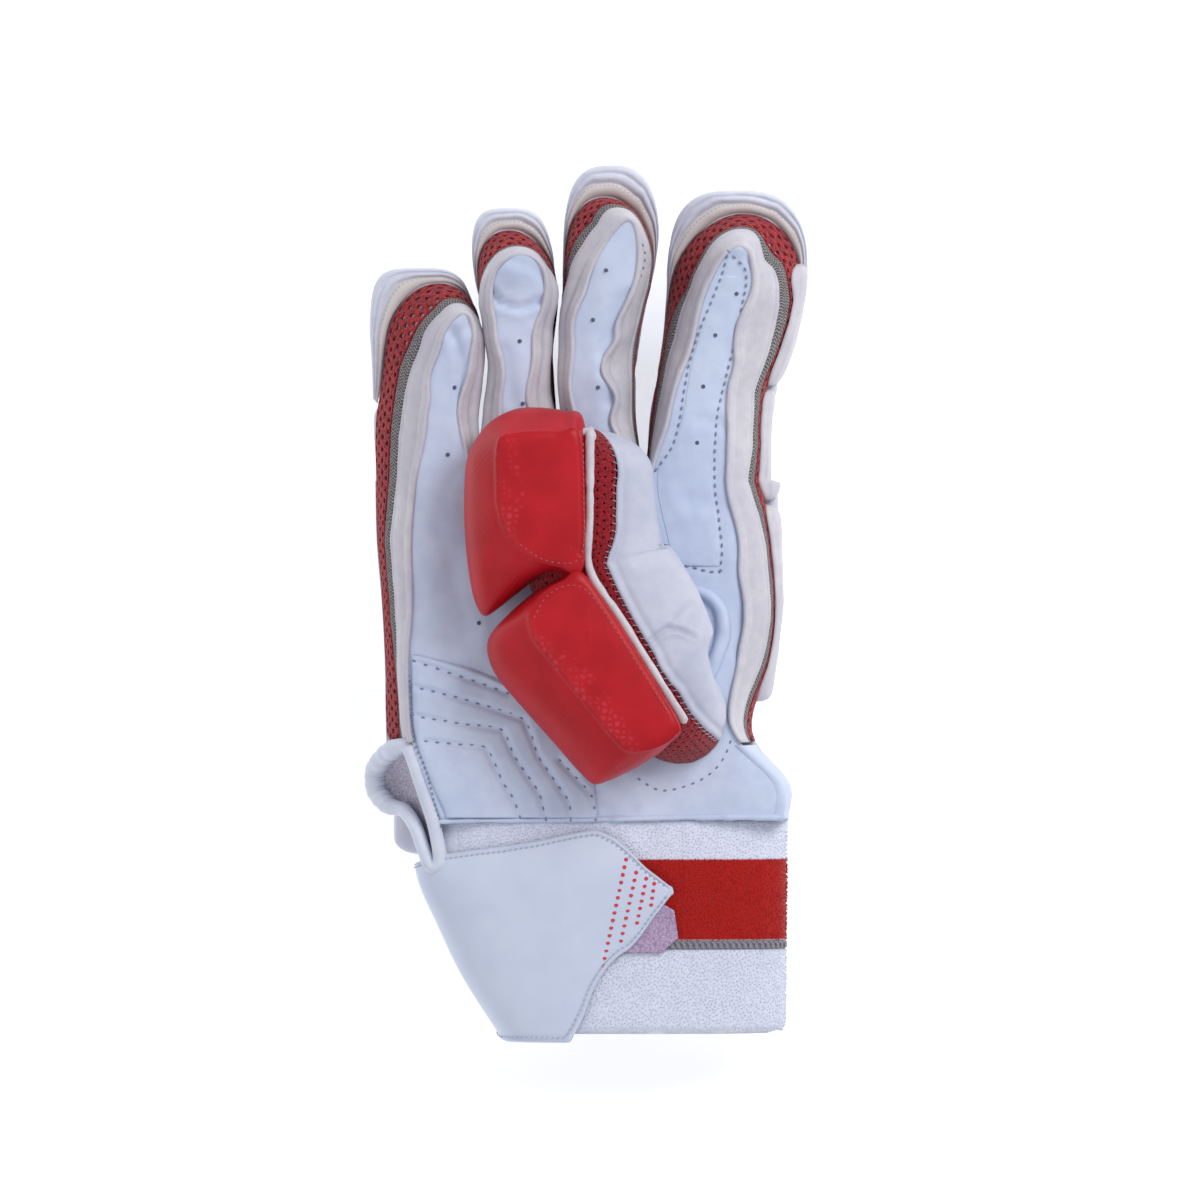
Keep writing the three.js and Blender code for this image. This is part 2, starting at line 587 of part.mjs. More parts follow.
function addThumb() {
  const shell = thumbSolid(0, 0).subtract(thumbSolid(-LEATHER, WEDGE_DROP));
  addPiece("thumb_mesh", fromSolid(shell.intersect(meshWedge(0))), "mesh");
  addPiece("thumb_leather", fromSolid(shell.subtract(meshWedge(MESH_SEAM))), "leather");
  addPiece("thumb_guard_tip", thumbGuard(TIP_GUARD_OUTLINE, TIP_GUARD_CROWN, true), "foam");
  addPiece("thumb_guard_root", thumbGuard(ROOT_GUARD_OUTLINE, ROOT_GUARD_CROWN, false), "foam");
  const stand = THUMB_DEPTH + THUMB_CLEAR + PIPING_RADIUS + 2 * GAP;
  const side = point(PIPING_SHIFT, 0, stand);
  const tipSide = [0.72, 0.4, 0].map((share) => joint.clone().add(point(0, share * THUMB_TIP_LENGTH, 0)));
  const rootSide = [0.5, 0.98].map((share) =>
    joint.clone().addScaledVector(rootward, share * THUMB_ROOT_LENGTH),
  );
  const overElbow = [72, 50].map((turn) => {
    const out = rootward.clone().multiplyScalar(Math.cos(radians(turn))).setZ(Math.sin(radians(turn)));
    const reach = THREE.MathUtils.lerp(THUMB_ROOT_REACH, THUMB_DEPTH, turn / 90) + stand - THUMB_DEPTH;
    return fold.clone().addScaledVector(out, reach).add(point(PIPING_SHIFT, 0, 0));
  });
  const route = [...[...tipSide, ...rootSide].map((p) => p.setZ(fold.z).add(side)), ...overElbow];
  addPiece("thumb_piping", tube(route, PIPING_RADIUS, false, 18, 6), "leather");
}

function addSheets() {
  const palm = handSheet("face", GAP / 2 + LEATHER + GAP, 0, (p) => point(p.x, p.y, p.z - LEATHER));
  const [root] = thumbRings(-LEATHER, 0);
  const hole = loft([-2, 2].map((side) => root.points.map((p) => point(p.x, p.y, p.z + side * LEATHER))));
  addPiece("palm_leather", fromSolid(toSolid(palm).subtract(toSolid(hole))), "leather");
  addPiece("back_fabric", handSheet("back", GAP / 2, -GAP, (p) => point(p.x, p.y, p.z - LEATHER)), "fabric");
}

// Foam guards under the back sheet. Each is a run of D-shaped sections between a left and a right
// edge; the first and the last are drawn in, so that the guard rounds off.
function guard(stations) {
  const rings = stations.map(({ left, right, thin = 1, inset: draw = 1 }) => {
    const middle = mix(left, right, 0.5);
    const half = right.clone().sub(middle).multiplyScalar(draw);
    const top = left.z - GAP - LEATHER - GAP - (1 - thin) * GUARD_THICKNESS * 0.3;
    return GUARD_SECTION.map(({ across, deep }) =>
      middle.clone().addScaledVector(half, across).setZ(top - deep * thin * GUARD_THICKNESS),
    );
  });
  return loft(rings);
}

function spanned([from, to], length, steps) {
  const end = GUARD_END.run / length;
  const crease = GUARD_SPLIT / 2 / length;
  const [low, high] = [from + crease, to - crease];
  const rows = [{ at: low, ...GUARD_END }];
  for (let i = 0; i <= steps; i += 1) rows.push({ at: low + end + ((high - low - 2 * end) * i) / steps });
  rows.push({ at: high, ...GUARD_END });
  return rows;
}

function addFingerGuards() {
  for (const finger of FINGERS) {
    const edge = (side, at) => fingerEdge(finger, "guard", side, at);
    const knuckle = spanned(KNUCKLE_GUARD, finger.length, 2).map((row) => ({
      left: edge(-1, row.at), right: edge(1, row.at), thin: row.thin, inset: row.inset,
    }));
    addPiece("guard_" + finger.name + "_knuckle", guard(knuckle), "guard");
    const low = TIP_GUARD[0] + GUARD_SPLIT / 2 / finger.length;
    const stations = [{ at: low, ...GUARD_END }, { at: low + GUARD_END.run / finger.length }];
    for (const at of [0.56, TIP_START]) stations.push({ at });
    for (const angle of [28, 50, 68]) {
      const at = TIP_START + (1 - TIP_START) * Math.sin(radians(angle));
      stations.push({ at, thin: Math.cos(radians(angle)) ** 0.6 });
    }
    const last = { at: 0.998, thin: 0.35 };
    const rows = [...stations, last].map((row) => ({
      left: edge(-1, row.at), right: edge(1, row.at), thin: row.thin, inset: row.inset,
    }));
    addPiece("guard_" + finger.name + "_tip", guard(rows), "guard");
  }
}

function addHandGuards() {
  const clearance = GUARD_SPLIT / 2;
  const columns = HAND_COLUMNS.map(({ at, edges }) => ({ at, ...edges }));
  FINGERS.forEach((finger, i) => {
    const stations = spanned(HAND_GUARD, PALM_LENGTH, 2).map((row) => {
      const y = -row.at * PALM_LENGTH;
      const left = point(straight(columns, "at", i, row.at) * FINGER_WIDTH + clearance, y, WALL_FOOT);
      const right = point(straight(columns, "at", i + 1, row.at) * FINGER_WIDTH - clearance, y, WALL_FOOT);
      return { left, right, thin: row.thin, inset: row.inset };
    });
    addPiece("guard_hand_" + finger.name, guard(stations), "guard");
  });
  const wrist = spanned(WRIST_GUARD, PALM_LENGTH, 2).map((row) => {
    const [left, right] = WRIST_EDGES.map((x) => point(x * FINGER_WIDTH, -row.at * PALM_LENGTH, WALL_FOOT));
    return { left, right, thin: row.thin, inset: row.inset };
  });
  addPiece("guard_wrist", guard(wrist), "guard");
}

// The cuff: flattened rings from the wrist seam, where it is as wide as the hand, to its mouth.
const CUFF_EDGE = 0.38; // exponent that flattens the rings' round section
const CUFF_TOP = { left: -1.63, right: 2.01 }; // shares of FINGER_WIDTH
const CUFF_MOUTH_RIGHT = 1.98;
// How far the cuff has narrowed to its mouth's width, and sunk to its mouth's height.
const CUFF_ROWS = [
  { down: 0, narrow: 0, sunk: 0 }, { down: 0.25, narrow: 0.02, sunk: 0.04 },
  { down: 0.5, narrow: 0.3, sunk: 0.42 }, { down: 0.75, narrow: 0.61, sunk: 0.8 },
  { down: 1, narrow: 1, sunk: 1 },
];

function cuffFrame(down) {
  const topLeft = CUFF_TOP.left * FINGER_WIDTH;
  const mouthRight = CUFF_MOUTH_RIGHT * FINGER_WIDTH;
  const narrow = sample(CUFF_ROWS, "down", "narrow", down);
  const left = THREE.MathUtils.lerp(topLeft, mouthRight - CUFF_MOUTH_WIDTH, narrow);
  const right = THREE.MathUtils.lerp(CUFF_TOP.right * FINGER_WIDTH, mouthRight, down);
  const sag = sample(CUFF_ROWS, "down", "sunk", down);
  const low = THREE.MathUtils.lerp(WALL_FOOT - LEATHER, CUFF_MOUTH_LIFT, sag);
  const high = THREE.MathUtils.lerp(PALM_TOP, CUFF_MOUTH_LIFT + CUFF_MOUTH_DEPTH, sag);
  return { x: (left + right) / 2, z: (low + high) / 2, half: (right - left) / 2, high: (high - low) / 2 };
}

// A point round the cuff: turn 0 is the little finger's side and 90 the top.
function cuffPoint(turn, down, grow) {
  const { x, z, half, high } = cuffFrame(down);
  const cos = Math.cos(radians(turn));
  const sin = Math.sin(radians(turn));
  const flat = (v, size) => Math.sign(v) * Math.abs(v) ** (2 * CUFF_EDGE) * (size + grow);
  return point(x - flat(cos, half), -PALM_LENGTH - GAP - down * CUFF_LENGTH, z + flat(sin, high));
}

const CUFF_TURNS = Array.from({ length: 28 }, (_, i) => (i / 28) * 360 - 90);
const CUFF_DOWNS = [0, 1, 2, 3, 4, 5, 6].map((i) => i / 6);

function addCuff() {
  const ring = (down, grow) => CUFF_TURNS.map((turn) => cuffPoint(turn, down, grow));
  const outside = CUFF_DOWNS.map((down) => ring(down, 0));
  const inside = [...CUFF_DOWNS].reverse().map((down) => ring(down, -CUFF_WALL));
  addPiece("cuff", loft([...outside, ...inside], true), "terry");
}

// A band laid on the cuff at some height over it, from rows of turn, top and bottom.
function cuffBand(rows, height, thickness) {
  const between = CUFF_TURNS.filter((turn) => turn > rows[0].turn && turn < rows.at(-1).turn);
  const turns = [...rows.map((row) => row.turn), ...between].sort((a, b) => a - b);
  const line = (turn, grow) => {
    const [top, bottom] = ["top", "bottom"].map((column) => straight(rows, "turn", column, turn));
    return CUFF_DOWNS.map((share) => cuffPoint(turn, THREE.MathUtils.lerp(top, bottom, share), grow));
  };
  const upper = turns.map((turn) => line(turn, height + thickness));
  const lower = turns.map((turn) => line(turn, height));
  return loft(upper.map((top, i) => [...top, ...[...lower[i]].reverse()]));
}

function addStrap() {
  addPiece("hook_patch", cuffBand(HOOK_ROWS, GAP, HOOK_THICKNESS), "hook");
  addPiece("strap", cuffBand(STRAP_ROWS, HOOK_THICKNESS + 2 * GAP, STRAP_THICKNESS), "strap");
}

// The rolled edge of the wrist slit, a loop between the palm's edge and the back sheet's. down is a
// share of PALM_LENGTH, out the distance beyond the edge that it lies beside, and level its height
// from the back sheet, at 0, to the palm, at 1.
const BINDING_ROWS = [
  { down: 0.82, beside: "face", out: 0, level: 1 }, { down: 0.9, beside: "face", out: 0, level: 1 },
  { down: 0.97, beside: "face", out: 0, level: 1 }, { down: 1.0, beside: "face", out: 6, level: 0.7 },
  { down: 0.96, beside: "back", out: -5.5, level: 0.15 }, { down: 0.9, beside: "back", out: 0.5, level: 0 },
  { down: 0.83, beside: "back", out: 1.5, level: 0.2 }, { down: 0.8, beside: "back", out: -4.5, level: 0.65 },
];

function addBinding() {
  const off = BINDING_RADIUS + GAP;
  const route = BINDING_ROWS.map(({ down, beside, out, level }) => {
    const edge = palmEdge(beside, -1, down);
    const height = THREE.MathUtils.lerp(WALL_FOOT + off, PALM_TOP - BINDING_RADIUS, level);
    return point(edge.x - off - out, edge.y, height);
  });
  addPiece("slit_binding", tube(route, BINDING_RADIUS, true, 26, 7), "leather");
}

// Leather laid on the palm: the quilted heel and the long patch of the index finger.
function laidPatch(rows) {
  const level = PALM_TOP + GAP + PATCH_THICKNESS;
  const grid = rows.map(([left, right, y]) =>
    [left, (left + right) / 2, right].map((x) => point(x * FINGER_WIDTH, y, level + rise(y))),
  );
  return slab([grid], (p) => point(p.x, p.y, p.z - PATCH_THICKNESS));
}

const HEEL_ROWS = [
  { down: 0.53, left: -1.76, right: -1.72 }, { down: 0.56, left: -1.76, right: -1.15 },
  { down: 0.64, left: -1.76, right: -0.47 }, { down: 0.74, left: -1.74, right: -0.3 },
  { down: 0.84, left: -1.64, right: 0.02 }, { down: 0.98, left: -1.43, right: 0.1 },
];
const INDEX_PATCH_ROWS = [
  { along: -0.32, left: 0.92, right: 1.32 }, { along: -0.2, left: 0.8, right: 1.32 },
  { along: 0.03, left: 0.7, right: 1.24 }, { along: 0.2, left: 0.93, right: 1.3 },
  { along: 0.4, left: 1.04, right: 1.4 }, { along: 0.6, left: 1.2, right: 1.5 },
  { along: 0.71, left: 1.32, right: 1.48 },
];

function addPatches() {
  const heel = HEEL_ROWS.map(({ down, left, right }) => [left, right, -down * PALM_LENGTH]);
  addPiece("heel_patch", laidPatch(heel), "leather");
  const index = INDEX_PATCH_ROWS.map(({ along, left, right }) => [left, right, along * INDEX_LENGTH]);
  addPiece("index_patch", laidPatch(index), "leather");
}

addSheets();
addWalls();
addPatches();
addFingerGuards();
addHandGuards();
addThumb();
addCuff();
addStrap();
addBinding();

// The origin is the middle of the glove's underside.
const box = new THREE.Box3().setFromObject(glove);
const centre = box.getCenter(new THREE.Vector3());
glove.position.set(-centre.x, -centre.y, -box.min.z);

export default glove;
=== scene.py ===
# %% [markdown]
# # A cricket batting glove, palm up
#
# The glove lies on its back with the palm towards the camera. White leather covers the palm and
# the fingers, red net lets air in at their sides, foam guards cover the back and the thumb, and a
# terry cuff with a wide strap closes the wrist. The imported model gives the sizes: every piece here
# is built over the solid that it stands for, in millimetres, and goes to Blender in metres.

# %% Load the frame
import json
import math

import bpy
import numpy as np
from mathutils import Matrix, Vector

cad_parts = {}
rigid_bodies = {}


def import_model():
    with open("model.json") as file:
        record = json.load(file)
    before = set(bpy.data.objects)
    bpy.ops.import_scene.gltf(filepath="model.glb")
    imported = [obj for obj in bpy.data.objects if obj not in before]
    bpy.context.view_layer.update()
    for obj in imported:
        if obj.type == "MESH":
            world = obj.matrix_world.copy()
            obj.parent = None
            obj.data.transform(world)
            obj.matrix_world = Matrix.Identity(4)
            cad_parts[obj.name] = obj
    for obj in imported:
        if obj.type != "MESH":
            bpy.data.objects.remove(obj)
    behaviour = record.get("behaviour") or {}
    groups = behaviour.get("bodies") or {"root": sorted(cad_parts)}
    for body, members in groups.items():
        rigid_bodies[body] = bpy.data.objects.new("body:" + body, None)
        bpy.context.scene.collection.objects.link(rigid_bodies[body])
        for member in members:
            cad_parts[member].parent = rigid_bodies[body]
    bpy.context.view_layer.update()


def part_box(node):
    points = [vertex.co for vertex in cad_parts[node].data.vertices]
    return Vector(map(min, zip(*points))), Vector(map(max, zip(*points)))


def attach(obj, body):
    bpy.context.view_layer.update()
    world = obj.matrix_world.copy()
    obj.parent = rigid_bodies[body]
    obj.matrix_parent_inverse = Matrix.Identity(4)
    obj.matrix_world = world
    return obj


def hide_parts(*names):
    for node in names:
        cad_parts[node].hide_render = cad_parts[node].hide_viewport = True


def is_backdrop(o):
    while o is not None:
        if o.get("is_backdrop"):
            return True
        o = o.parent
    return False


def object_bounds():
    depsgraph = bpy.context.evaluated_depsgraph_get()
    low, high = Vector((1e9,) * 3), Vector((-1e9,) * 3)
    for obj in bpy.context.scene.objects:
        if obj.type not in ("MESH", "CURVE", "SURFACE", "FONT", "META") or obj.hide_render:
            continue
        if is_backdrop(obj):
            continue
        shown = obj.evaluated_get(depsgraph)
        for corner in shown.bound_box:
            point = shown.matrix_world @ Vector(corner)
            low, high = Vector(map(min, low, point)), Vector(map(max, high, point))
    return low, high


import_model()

# %% [markdown]
# ## The glove's sizes
#
# A glove is cut from patterns that follow a few hand measures. These are the same names and values
# as in the part's source, so each dressed piece lands on its solid. x = 0 is the middle of the
# palm, y = 0 the line of the knuckles, and z = 0 the surface that the guards rest on.

# %% Sizes of the glove
FINGER_WIDTH = 34.5
PALM_LENGTH = 117
CURL_RISE = 24
CURL_SPAN = 100
HAND_DEPTH = 27
LEATHER = 1.6
WELT_HEIGHT = 0.8
GUARD_THICKNESS = 17
GUARD_SPLIT = 1.4
CUFF_LENGTH = 74
CUFF_MOUTH_WIDTH = 96
CUFF_MOUTH_DEPTH = 31
CUFF_MOUTH_LIFT = 7
CUFF_WALL = 3.2
STRAP_THICKNESS = 2
HOOK_THICKNESS = 0.9
THUMB_WIDTH = 42
THUMB_DEPTH = 31
THUMB_TIP_LENGTH = 48
THUMB_ROOT_LENGTH = 38
THUMB_ROOT_REACH = 38
THUMB_LEAN = math.radians(32)
THUMB_GUARD_HEIGHT = 7
THUMB_GUARD_WIDTH = 41
PIPING_RADIUS = 1.5
PIPING_SHIFT = 0.8
BINDING_RADIUS = 2.3
GAP = 0.3
SHEET_TOP = GUARD_THICKNESS + GAP + LEATHER
WALL_FOOT = SHEET_TOP + GAP
PALM_TOP = WALL_FOOT + HAND_DEPTH
TIP_START = 0.75

WRIST_GUARD_LEFT, WRIST_GUARD_RIGHT = -1.95, 1.5

# Where the source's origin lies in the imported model, read from two solids that it places exactly.
SHIFT = np.array([
    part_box("guard_wrist")[0][0] * 1000 - WRIST_GUARD_LEFT * FINGER_WIDTH,
    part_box("guard_hand_little")[1][1] * 1000 + GUARD_SPLIT / 2,
    0.0,
])
print("shift of the origin, mm", SHIFT.round(2))

# %% [markdown]
# ## Smooth tables
#
# The source keeps each outline as a short table of shares. A curve through the rows gives every
# place between them. Reading whole arrays at once keeps the dense meshes below quick to make.

# %% Read a table smoothly
def table(columns, rows):
    """Rows of numbers as named columns."""
    return dict(zip(columns.split(), np.array(rows, float).T))


def sample(rows, key, column, at):
    """A smooth curve through one column, read at values of another."""
    keys, values = rows[key], rows[column]
    at = np.asarray(at, float)
    before = np.maximum(np.arange(len(keys)) - 1, 0)
    after = np.minimum(np.arange(len(keys)) + 1, len(keys) - 1)
    slope = (values[after] - values[before]) / (keys[after] - keys[before])
    i = np.clip(np.searchsorted(keys, at, side="left") - 1, 0, len(keys) - 2)
    span = keys[i + 1] - keys[i]
    t = (at - keys[i]) / span
    blend = t * t * (3 - 2 * t)
    start = t * (1 - t) ** 2 * span * slope[i]
    end = t * t * (t - 1) * span * slope[i + 1]
    return values[i] * (1 - blend) + values[i + 1] * blend + start + end


def ripple(x, y, size_x, size_y, seed):
    """Smooth seeded noise from -1 to 1, with bumps of these sizes."""
    lattice = np.random.default_rng(seed).uniform(-1, 1, (64, 64))
    u, v = np.asarray(x, float) / size_x, np.asarray(y, float) / size_y
    i, j = np.floor(u).astype(int), np.floor(v).astype(int)
    s, t = u - i, v - j
    s, t = s * s * (3 - 2 * s), t * t * (3 - 2 * t)
    low = lattice[i % 64, j % 64] * (1 - s) + lattice[(i + 1) % 64, j % 64] * s
    high = lattice[i % 64, (j + 1) % 64] * (1 - s) + lattice[(i + 1) % 64, (j + 1) % 64] * s
    return low * (1 - t) + high * t


def ease(value, low, high):
    """0 below low, 1 above high and smooth between."""
    t = np.clip((np.asarray(value, float) - low) / (high - low), 0, 1)
    return t * t * (3 - 2 * t)


FINGER_COLUMNS = "along face_mid face_half back_mid back_half guard_mid guard_half"
FINGERS = {
    "little": dict(
        length=73.5, base=-1.425, lean=-0.2, face_reach=0.79, back_reach=0.93,
        rows=table(FINGER_COLUMNS, [
            [0.0, 0.0, 0.33, -0.19, 0.52, -0.18, 0.5],
            [0.25, 0.02, 0.22, -0.16, 0.51, -0.16, 0.51],
            [0.5, 0.08, 0.2, -0.05, 0.51, -0.1, 0.54],
            [0.75, 0.21, 0.21, 0.02, 0.47, -0.08, 0.53],
            [1.0, 0.35, 0.2, 0.12, 0.4, -0.07, 0.46],
        ])),
    "ring": dict(
        length=94, base=-0.675, lean=-0.12, face_reach=0.83, back_reach=0.92,
        rows=table(FINGER_COLUMNS, [
            [0.0, 0.0, 0.41, 0.0, 0.41, 0.0, 0.4],
            [0.25, -0.01, 0.2, 0.03, 0.36, 0.03, 0.35],
            [0.5, 0.01, 0.17, 0.07, 0.31, 0.07, 0.3],
            [0.75, 0.05, 0.28, 0.07, 0.39, 0.03, 0.4],
            [1.0, 0.12, 0.4, 0.0, 0.4, 0.0, 0.4],
        ])),
    "middle": dict(
        length=108.5, base=0.155, lean=0.04, face_reach=0.83, back_reach=0.9,
        rows=table(FINGER_COLUMNS, [
            [0.0, 0.0, 0.41, 0.0, 0.41, 0.0, 0.4],
            [0.25, -0.1, 0.23, -0.06, 0.36, -0.05, 0.36],
            [0.5, -0.15, 0.22, -0.06, 0.39, -0.03, 0.4],
            [0.75, 0.05, 0.27, 0.03, 0.44, 0.05, 0.47],
            [1.0, 0.22, 0.22, -0.02, 0.43, 0.04, 0.47],
        ])),
    "index": dict(
        length=100, base=1.045, lean=0.43, face_reach=0.81, back_reach=0.92,
        rows=table(FINGER_COLUMNS, [
            [0.0, -0.035, 0.425, 0.13, 0.59, 0.17, 0.62],
            [0.25, -0.04, 0.33, 0.05, 0.55, 0.1, 0.61],
            [0.5, -0.01, 0.27, 0.11, 0.6, 0.17, 0.67],
            [0.75, 0.06, 0.25, 0.14, 0.64, 0.14, 0.7],
            [1.0, 0.12, 0.28, 0.13, 0.55, 0.02, 0.64],
        ])),
}
PALM_ROWS = table("down face_left back_left face_right back_right", [
    [0.0, -1.755, -2.135, 1.435, 1.765],
    [0.18, -1.8, -2.12, 1.53, 1.83],
    [0.36, -1.79, -2.07, 1.59, 1.88],
    [0.53, -1.83, -2.04, 1.54, 1.83],
    [0.7, -1.82, -2.03, 1.45, 1.66],
    [0.78, -1.78, -2.02, 1.58, 1.7],
    [0.9, -1.64, -1.98, 1.95, 2.04],
    [1.0, -1.5, -1.93, 1.96, 2.02],
])
WALL_END = 0.78  # share of PALM_LENGTH at which the finger walls stop, beside the wrist slit
TIP_POWER = {"face": 2, "back": 2.2, "guard": 2.7}
# The outer guards have squarer corners than the inner ones.
GUARD_CORNERS = {"little": 1.3, "ring": 0.8, "middle": 0.1, "index": 0.3}

# %% [markdown]
# ## The outline of the hand
#
# On the real glove the leather face of a finger is narrower than its back, so the side walls slant
# outwards. Each finger has two outlines, one round its face and one round the foot of its walls.
# The sewn edge of soft leather is never quite straight: it gathers between stitches. A wave along
# the face's edge gives that, strongest on the middle finger, whose right seam visibly buckles.

# %% Outlines of the fingers
def rise(y):
    """How far the curl of the fingers lifts a point y past the knuckles."""
    return CURL_RISE * (np.maximum(y, 0) / CURL_SPAN) ** 2


# side, from y, to y, amplitude and length of each stretch of gathered edge, in mm
GATHERS = {
    "little": [(-1, 20, 54, 0.7, 21), (1, 5, 50, 0.6, 24)],
    "ring": [(-1, 10, 60, 0.5, 22), (1, 8, 62, 0.9, 26)],
    "middle": [(-1, 10, 70, 0.9, 27), (1, 2, 56, 1.9, 21)],
    "index": [(-1, 8, 80, 0.5, 30), (1, 30, 76, 1.0, 30), (1, -60, 28, 0.7, 34)],
}


def gather(name, side, y):
    total = np.zeros_like(np.asarray(y, float))
    for where, low, high, size, length in GATHERS[name]:
        if where == side:
            fade = ease(y, low, low + 10) * (1 - ease(y, high - 10, high))
            total += fade * size * np.sin(2 * np.pi * (y - low) / length + 0.8 * ripple(y, 0, 19, 9, 4))
    return total


def finger_edge(name, layer, side, along):
    """The edge of a finger's leather face, of its wall's foot, or of its guard."""
    finger = FINGERS[name]
    along = np.asarray(along, float)
    reach = finger["length"] * {"face": finger["face_reach"], "back": finger["back_reach"], "guard": 1}[layer]
    y = reach * along
    middle = finger["base"] + finger["lean"] * y / finger["length"]
    middle = middle + sample(finger["rows"], "along", layer + "_mid", along)
    power = TIP_POWER[layer] + (GUARD_CORNERS[name] if layer == "guard" else 0)
    share = np.clip((along - TIP_START) / (1 - TIP_START), 0, 1)
    tip = np.maximum(1 - share ** power, 0) ** (1 / power)
    half = sample(finger["rows"], "along", layer + "_half", along) * tip
    x = (middle + side * half) * FINGER_WIDTH
    if layer == "face":
        x = x + gather(name, side, y) * tip
    level = PALM_TOP if layer == "face" else WALL_FOOT
    return np.stack([x, y, level + rise(y)], axis=-1)


def palm_edge(layer, side, down):
    down = np.asarray(down, float)
    x = sample(PALM_ROWS, "down", layer + ("_left" if side < 0 else "_right"), down) * FINGER_WIDTH
    if layer == "face" and side > 0:
        x = x + gather("index", 1, -down * PALM_LENGTH)
    level = PALM_TOP if layer == "face" else WALL_FOOT
    return np.stack([x, -down * PALM_LENGTH, np.full_like(x, level)], axis=-1)


TIP_ANGLES = np.radians(np.linspace(0, 90, 19))
FINGER_STATIONS = np.concatenate([
    np.linspace(0, TIP_START, 44)[:-1],
    TIP_START + (1 - TIP_START) * np.sin(TIP_ANGLES),
])
PALM_STATIONS = np.linspace(0, 1, 98)[1:]


def outline(name, layer, down_to=1.0):
    """Points up a finger's left side, over its tip and down its right side, and the ways inwards."""
    downs = PALM_STATIONS[PALM_STATIONS <= down_to + 1e-6]
    parts = []
    if name == "little":
        parts.append(palm_edge(layer, -1, downs[::-1]))
    parts.append(finger_edge(name, layer, -1, FINGER_STATIONS))
    parts.append(finger_edge(name, layer, 1, FINGER_STATIONS[:-1][::-1]))
    if name == "index":
        parts.append(palm_edge(layer, 1, downs))
    points = np.concatenate(parts)
    ahead = np.gradient(points[:, :2], axis=0)
    inward = np.stack([ahead[:, 1], -ahead[:, 0], np.zeros(len(points))], axis=-1)
    below = points[:, 1] <= 0
    inward[below, 0] = np.sign(ahead[below, 1])
    inward[below, 1] = 0
    length = np.linalg.norm(inward, axis=1, keepdims=True)
    return points, inward / np.maximum(length, 1e-9)


for finger_name in FINGERS:
    edge, _ = outline(finger_name, "face")
    print(finger_name, "face outline", len(edge), "points, from", edge.min(axis=0).round(1))

# %% [markdown]
# ## A workbench for meshes
#
# Almost every piece of a glove is a strip or a shell that follows a line: a gusset follows a
# finger's outline, a guard its length, the cuff the wrist. So one helper skins a run of sections,
# one makes a grid into quads, and one turns modifiers into a plain mesh.

# %% Mesh helpers
def grid_quads(rows, columns, wrap=False):
    """Quads over a grid of rows times columns points; wrap joins the last column to the first."""
    last = columns if wrap else columns - 1
    r, c = np.meshgrid(np.arange(rows - 1), np.arange(last), indexing="ij")
    r, c = r.ravel(), c.ravel()
    nxt = (c + 1) % columns
    low, high = r * columns, (r + 1) * columns
    return np.stack([low + c, low + nxt, high + nxt, high + c], axis=-1)


def skin(sections):
    """The points and faces of a closed shell through rings of points, with a hub at each end."""
    rings, count = sections.shape[:2]
    points = sections.reshape(-1, 3)
    faces = grid_quads(rings, count, wrap=True).tolist()
    start = len(points)
    points = np.concatenate([points, [sections[0].mean(axis=0), sections[-1].mean(axis=0)]])
    top = (rings - 1) * count
    for i in range(count):
        j = (i + 1) % count
        faces.append([j, i, start])
        faces.append([top + i, top + j, start + 1])
    return points, faces


def outward(points, faces):
    """The faces, turned round if the shell that they close is inside out."""
    first = points[[face[0] for face in faces]]
    volume = 0.0
    for k in range(1, 3):
        second = points[[face[k] for face in faces]]
        third = points[[face[min(k + 1, len(face) - 1)] for face in faces]]
        volume += np.einsum("ij,ij->i", first, np.cross(second, third)).sum()
    return [face[::-1] for face in faces] if volume < 0 else faces


def show(name, data):
    """A new object in the scene that holds this mesh, light or camera."""
    obj = bpy.data.objects.new(name, data)
    bpy.context.collection.objects.link(obj)
    return obj


def raw_object(name, points, edges=(), faces=()):
    """An object straight from points in the source's millimetres."""
    mesh = bpy.data.meshes.new(name)
    mesh.from_pydata(((np.asarray(points) + SHIFT) / 1000).tolist(), edges, faces)
    return show(name, mesh)


def make(name, points, faces, finish, uv=None, closed=True):
    """An object from points in the source's millimetres. uv is one pair of mm for each point."""
    faces = [list(map(int, face)) for face in faces]
    if closed:
        faces = outward(points, faces)
    obj = raw_object(name, points, [], faces)
    mesh = obj.data
    mesh.validate()
    mesh.shade_smooth()
    mesh.materials.append(finish.material)
    if uv is not None:
        corner = np.empty(len(mesh.loops), int)
        mesh.loops.foreach_get("vertex_index", corner)
        layer = mesh.uv_layers.new(name="Along")
        layer.data.foreach_set("uv", (np.asarray(uv, float)[corner] / 10).ravel())
    return obj


def sheet(name, grid, finish):
    """An open sheet through a grid of points."""
    return make(name, grid.reshape(-1, 3), grid_quads(*grid.shape[:2]), finish, closed=False)


def shell(name, sections, finish, along=None, across=None):
    """A closed shell through rings of points, with a map of mm along and across it if given."""
    points, faces = skin(sections)
    if along is None:
        return make(name, points, faces, finish)
    uv = np.column_stack([np.ravel(along), np.ravel(across)])
    return make(name, points, faces, finish, np.concatenate([uv, uv[:1], uv[-1:]]))


def hoop(name, sections, finish):
    """A closed round of sections, the last one joined to the first."""
    rings, count = sections.shape[:2]
    faces = grid_quads(rings, count, wrap=True).tolist()
    last = (rings - 1) * count
    faces += [[last + i, last + (i + 1) % count, (i + 1) % count, i] for i in range(count)]
    return make(name, sections.reshape(-1, 3), faces, finish)


def spread(left, right, shares):
    """Places between two lines of points, at these shares of the way across."""
    return left[:, None] * (1 - shares)[None, :, None] + right[:, None] * shares[None, :, None]


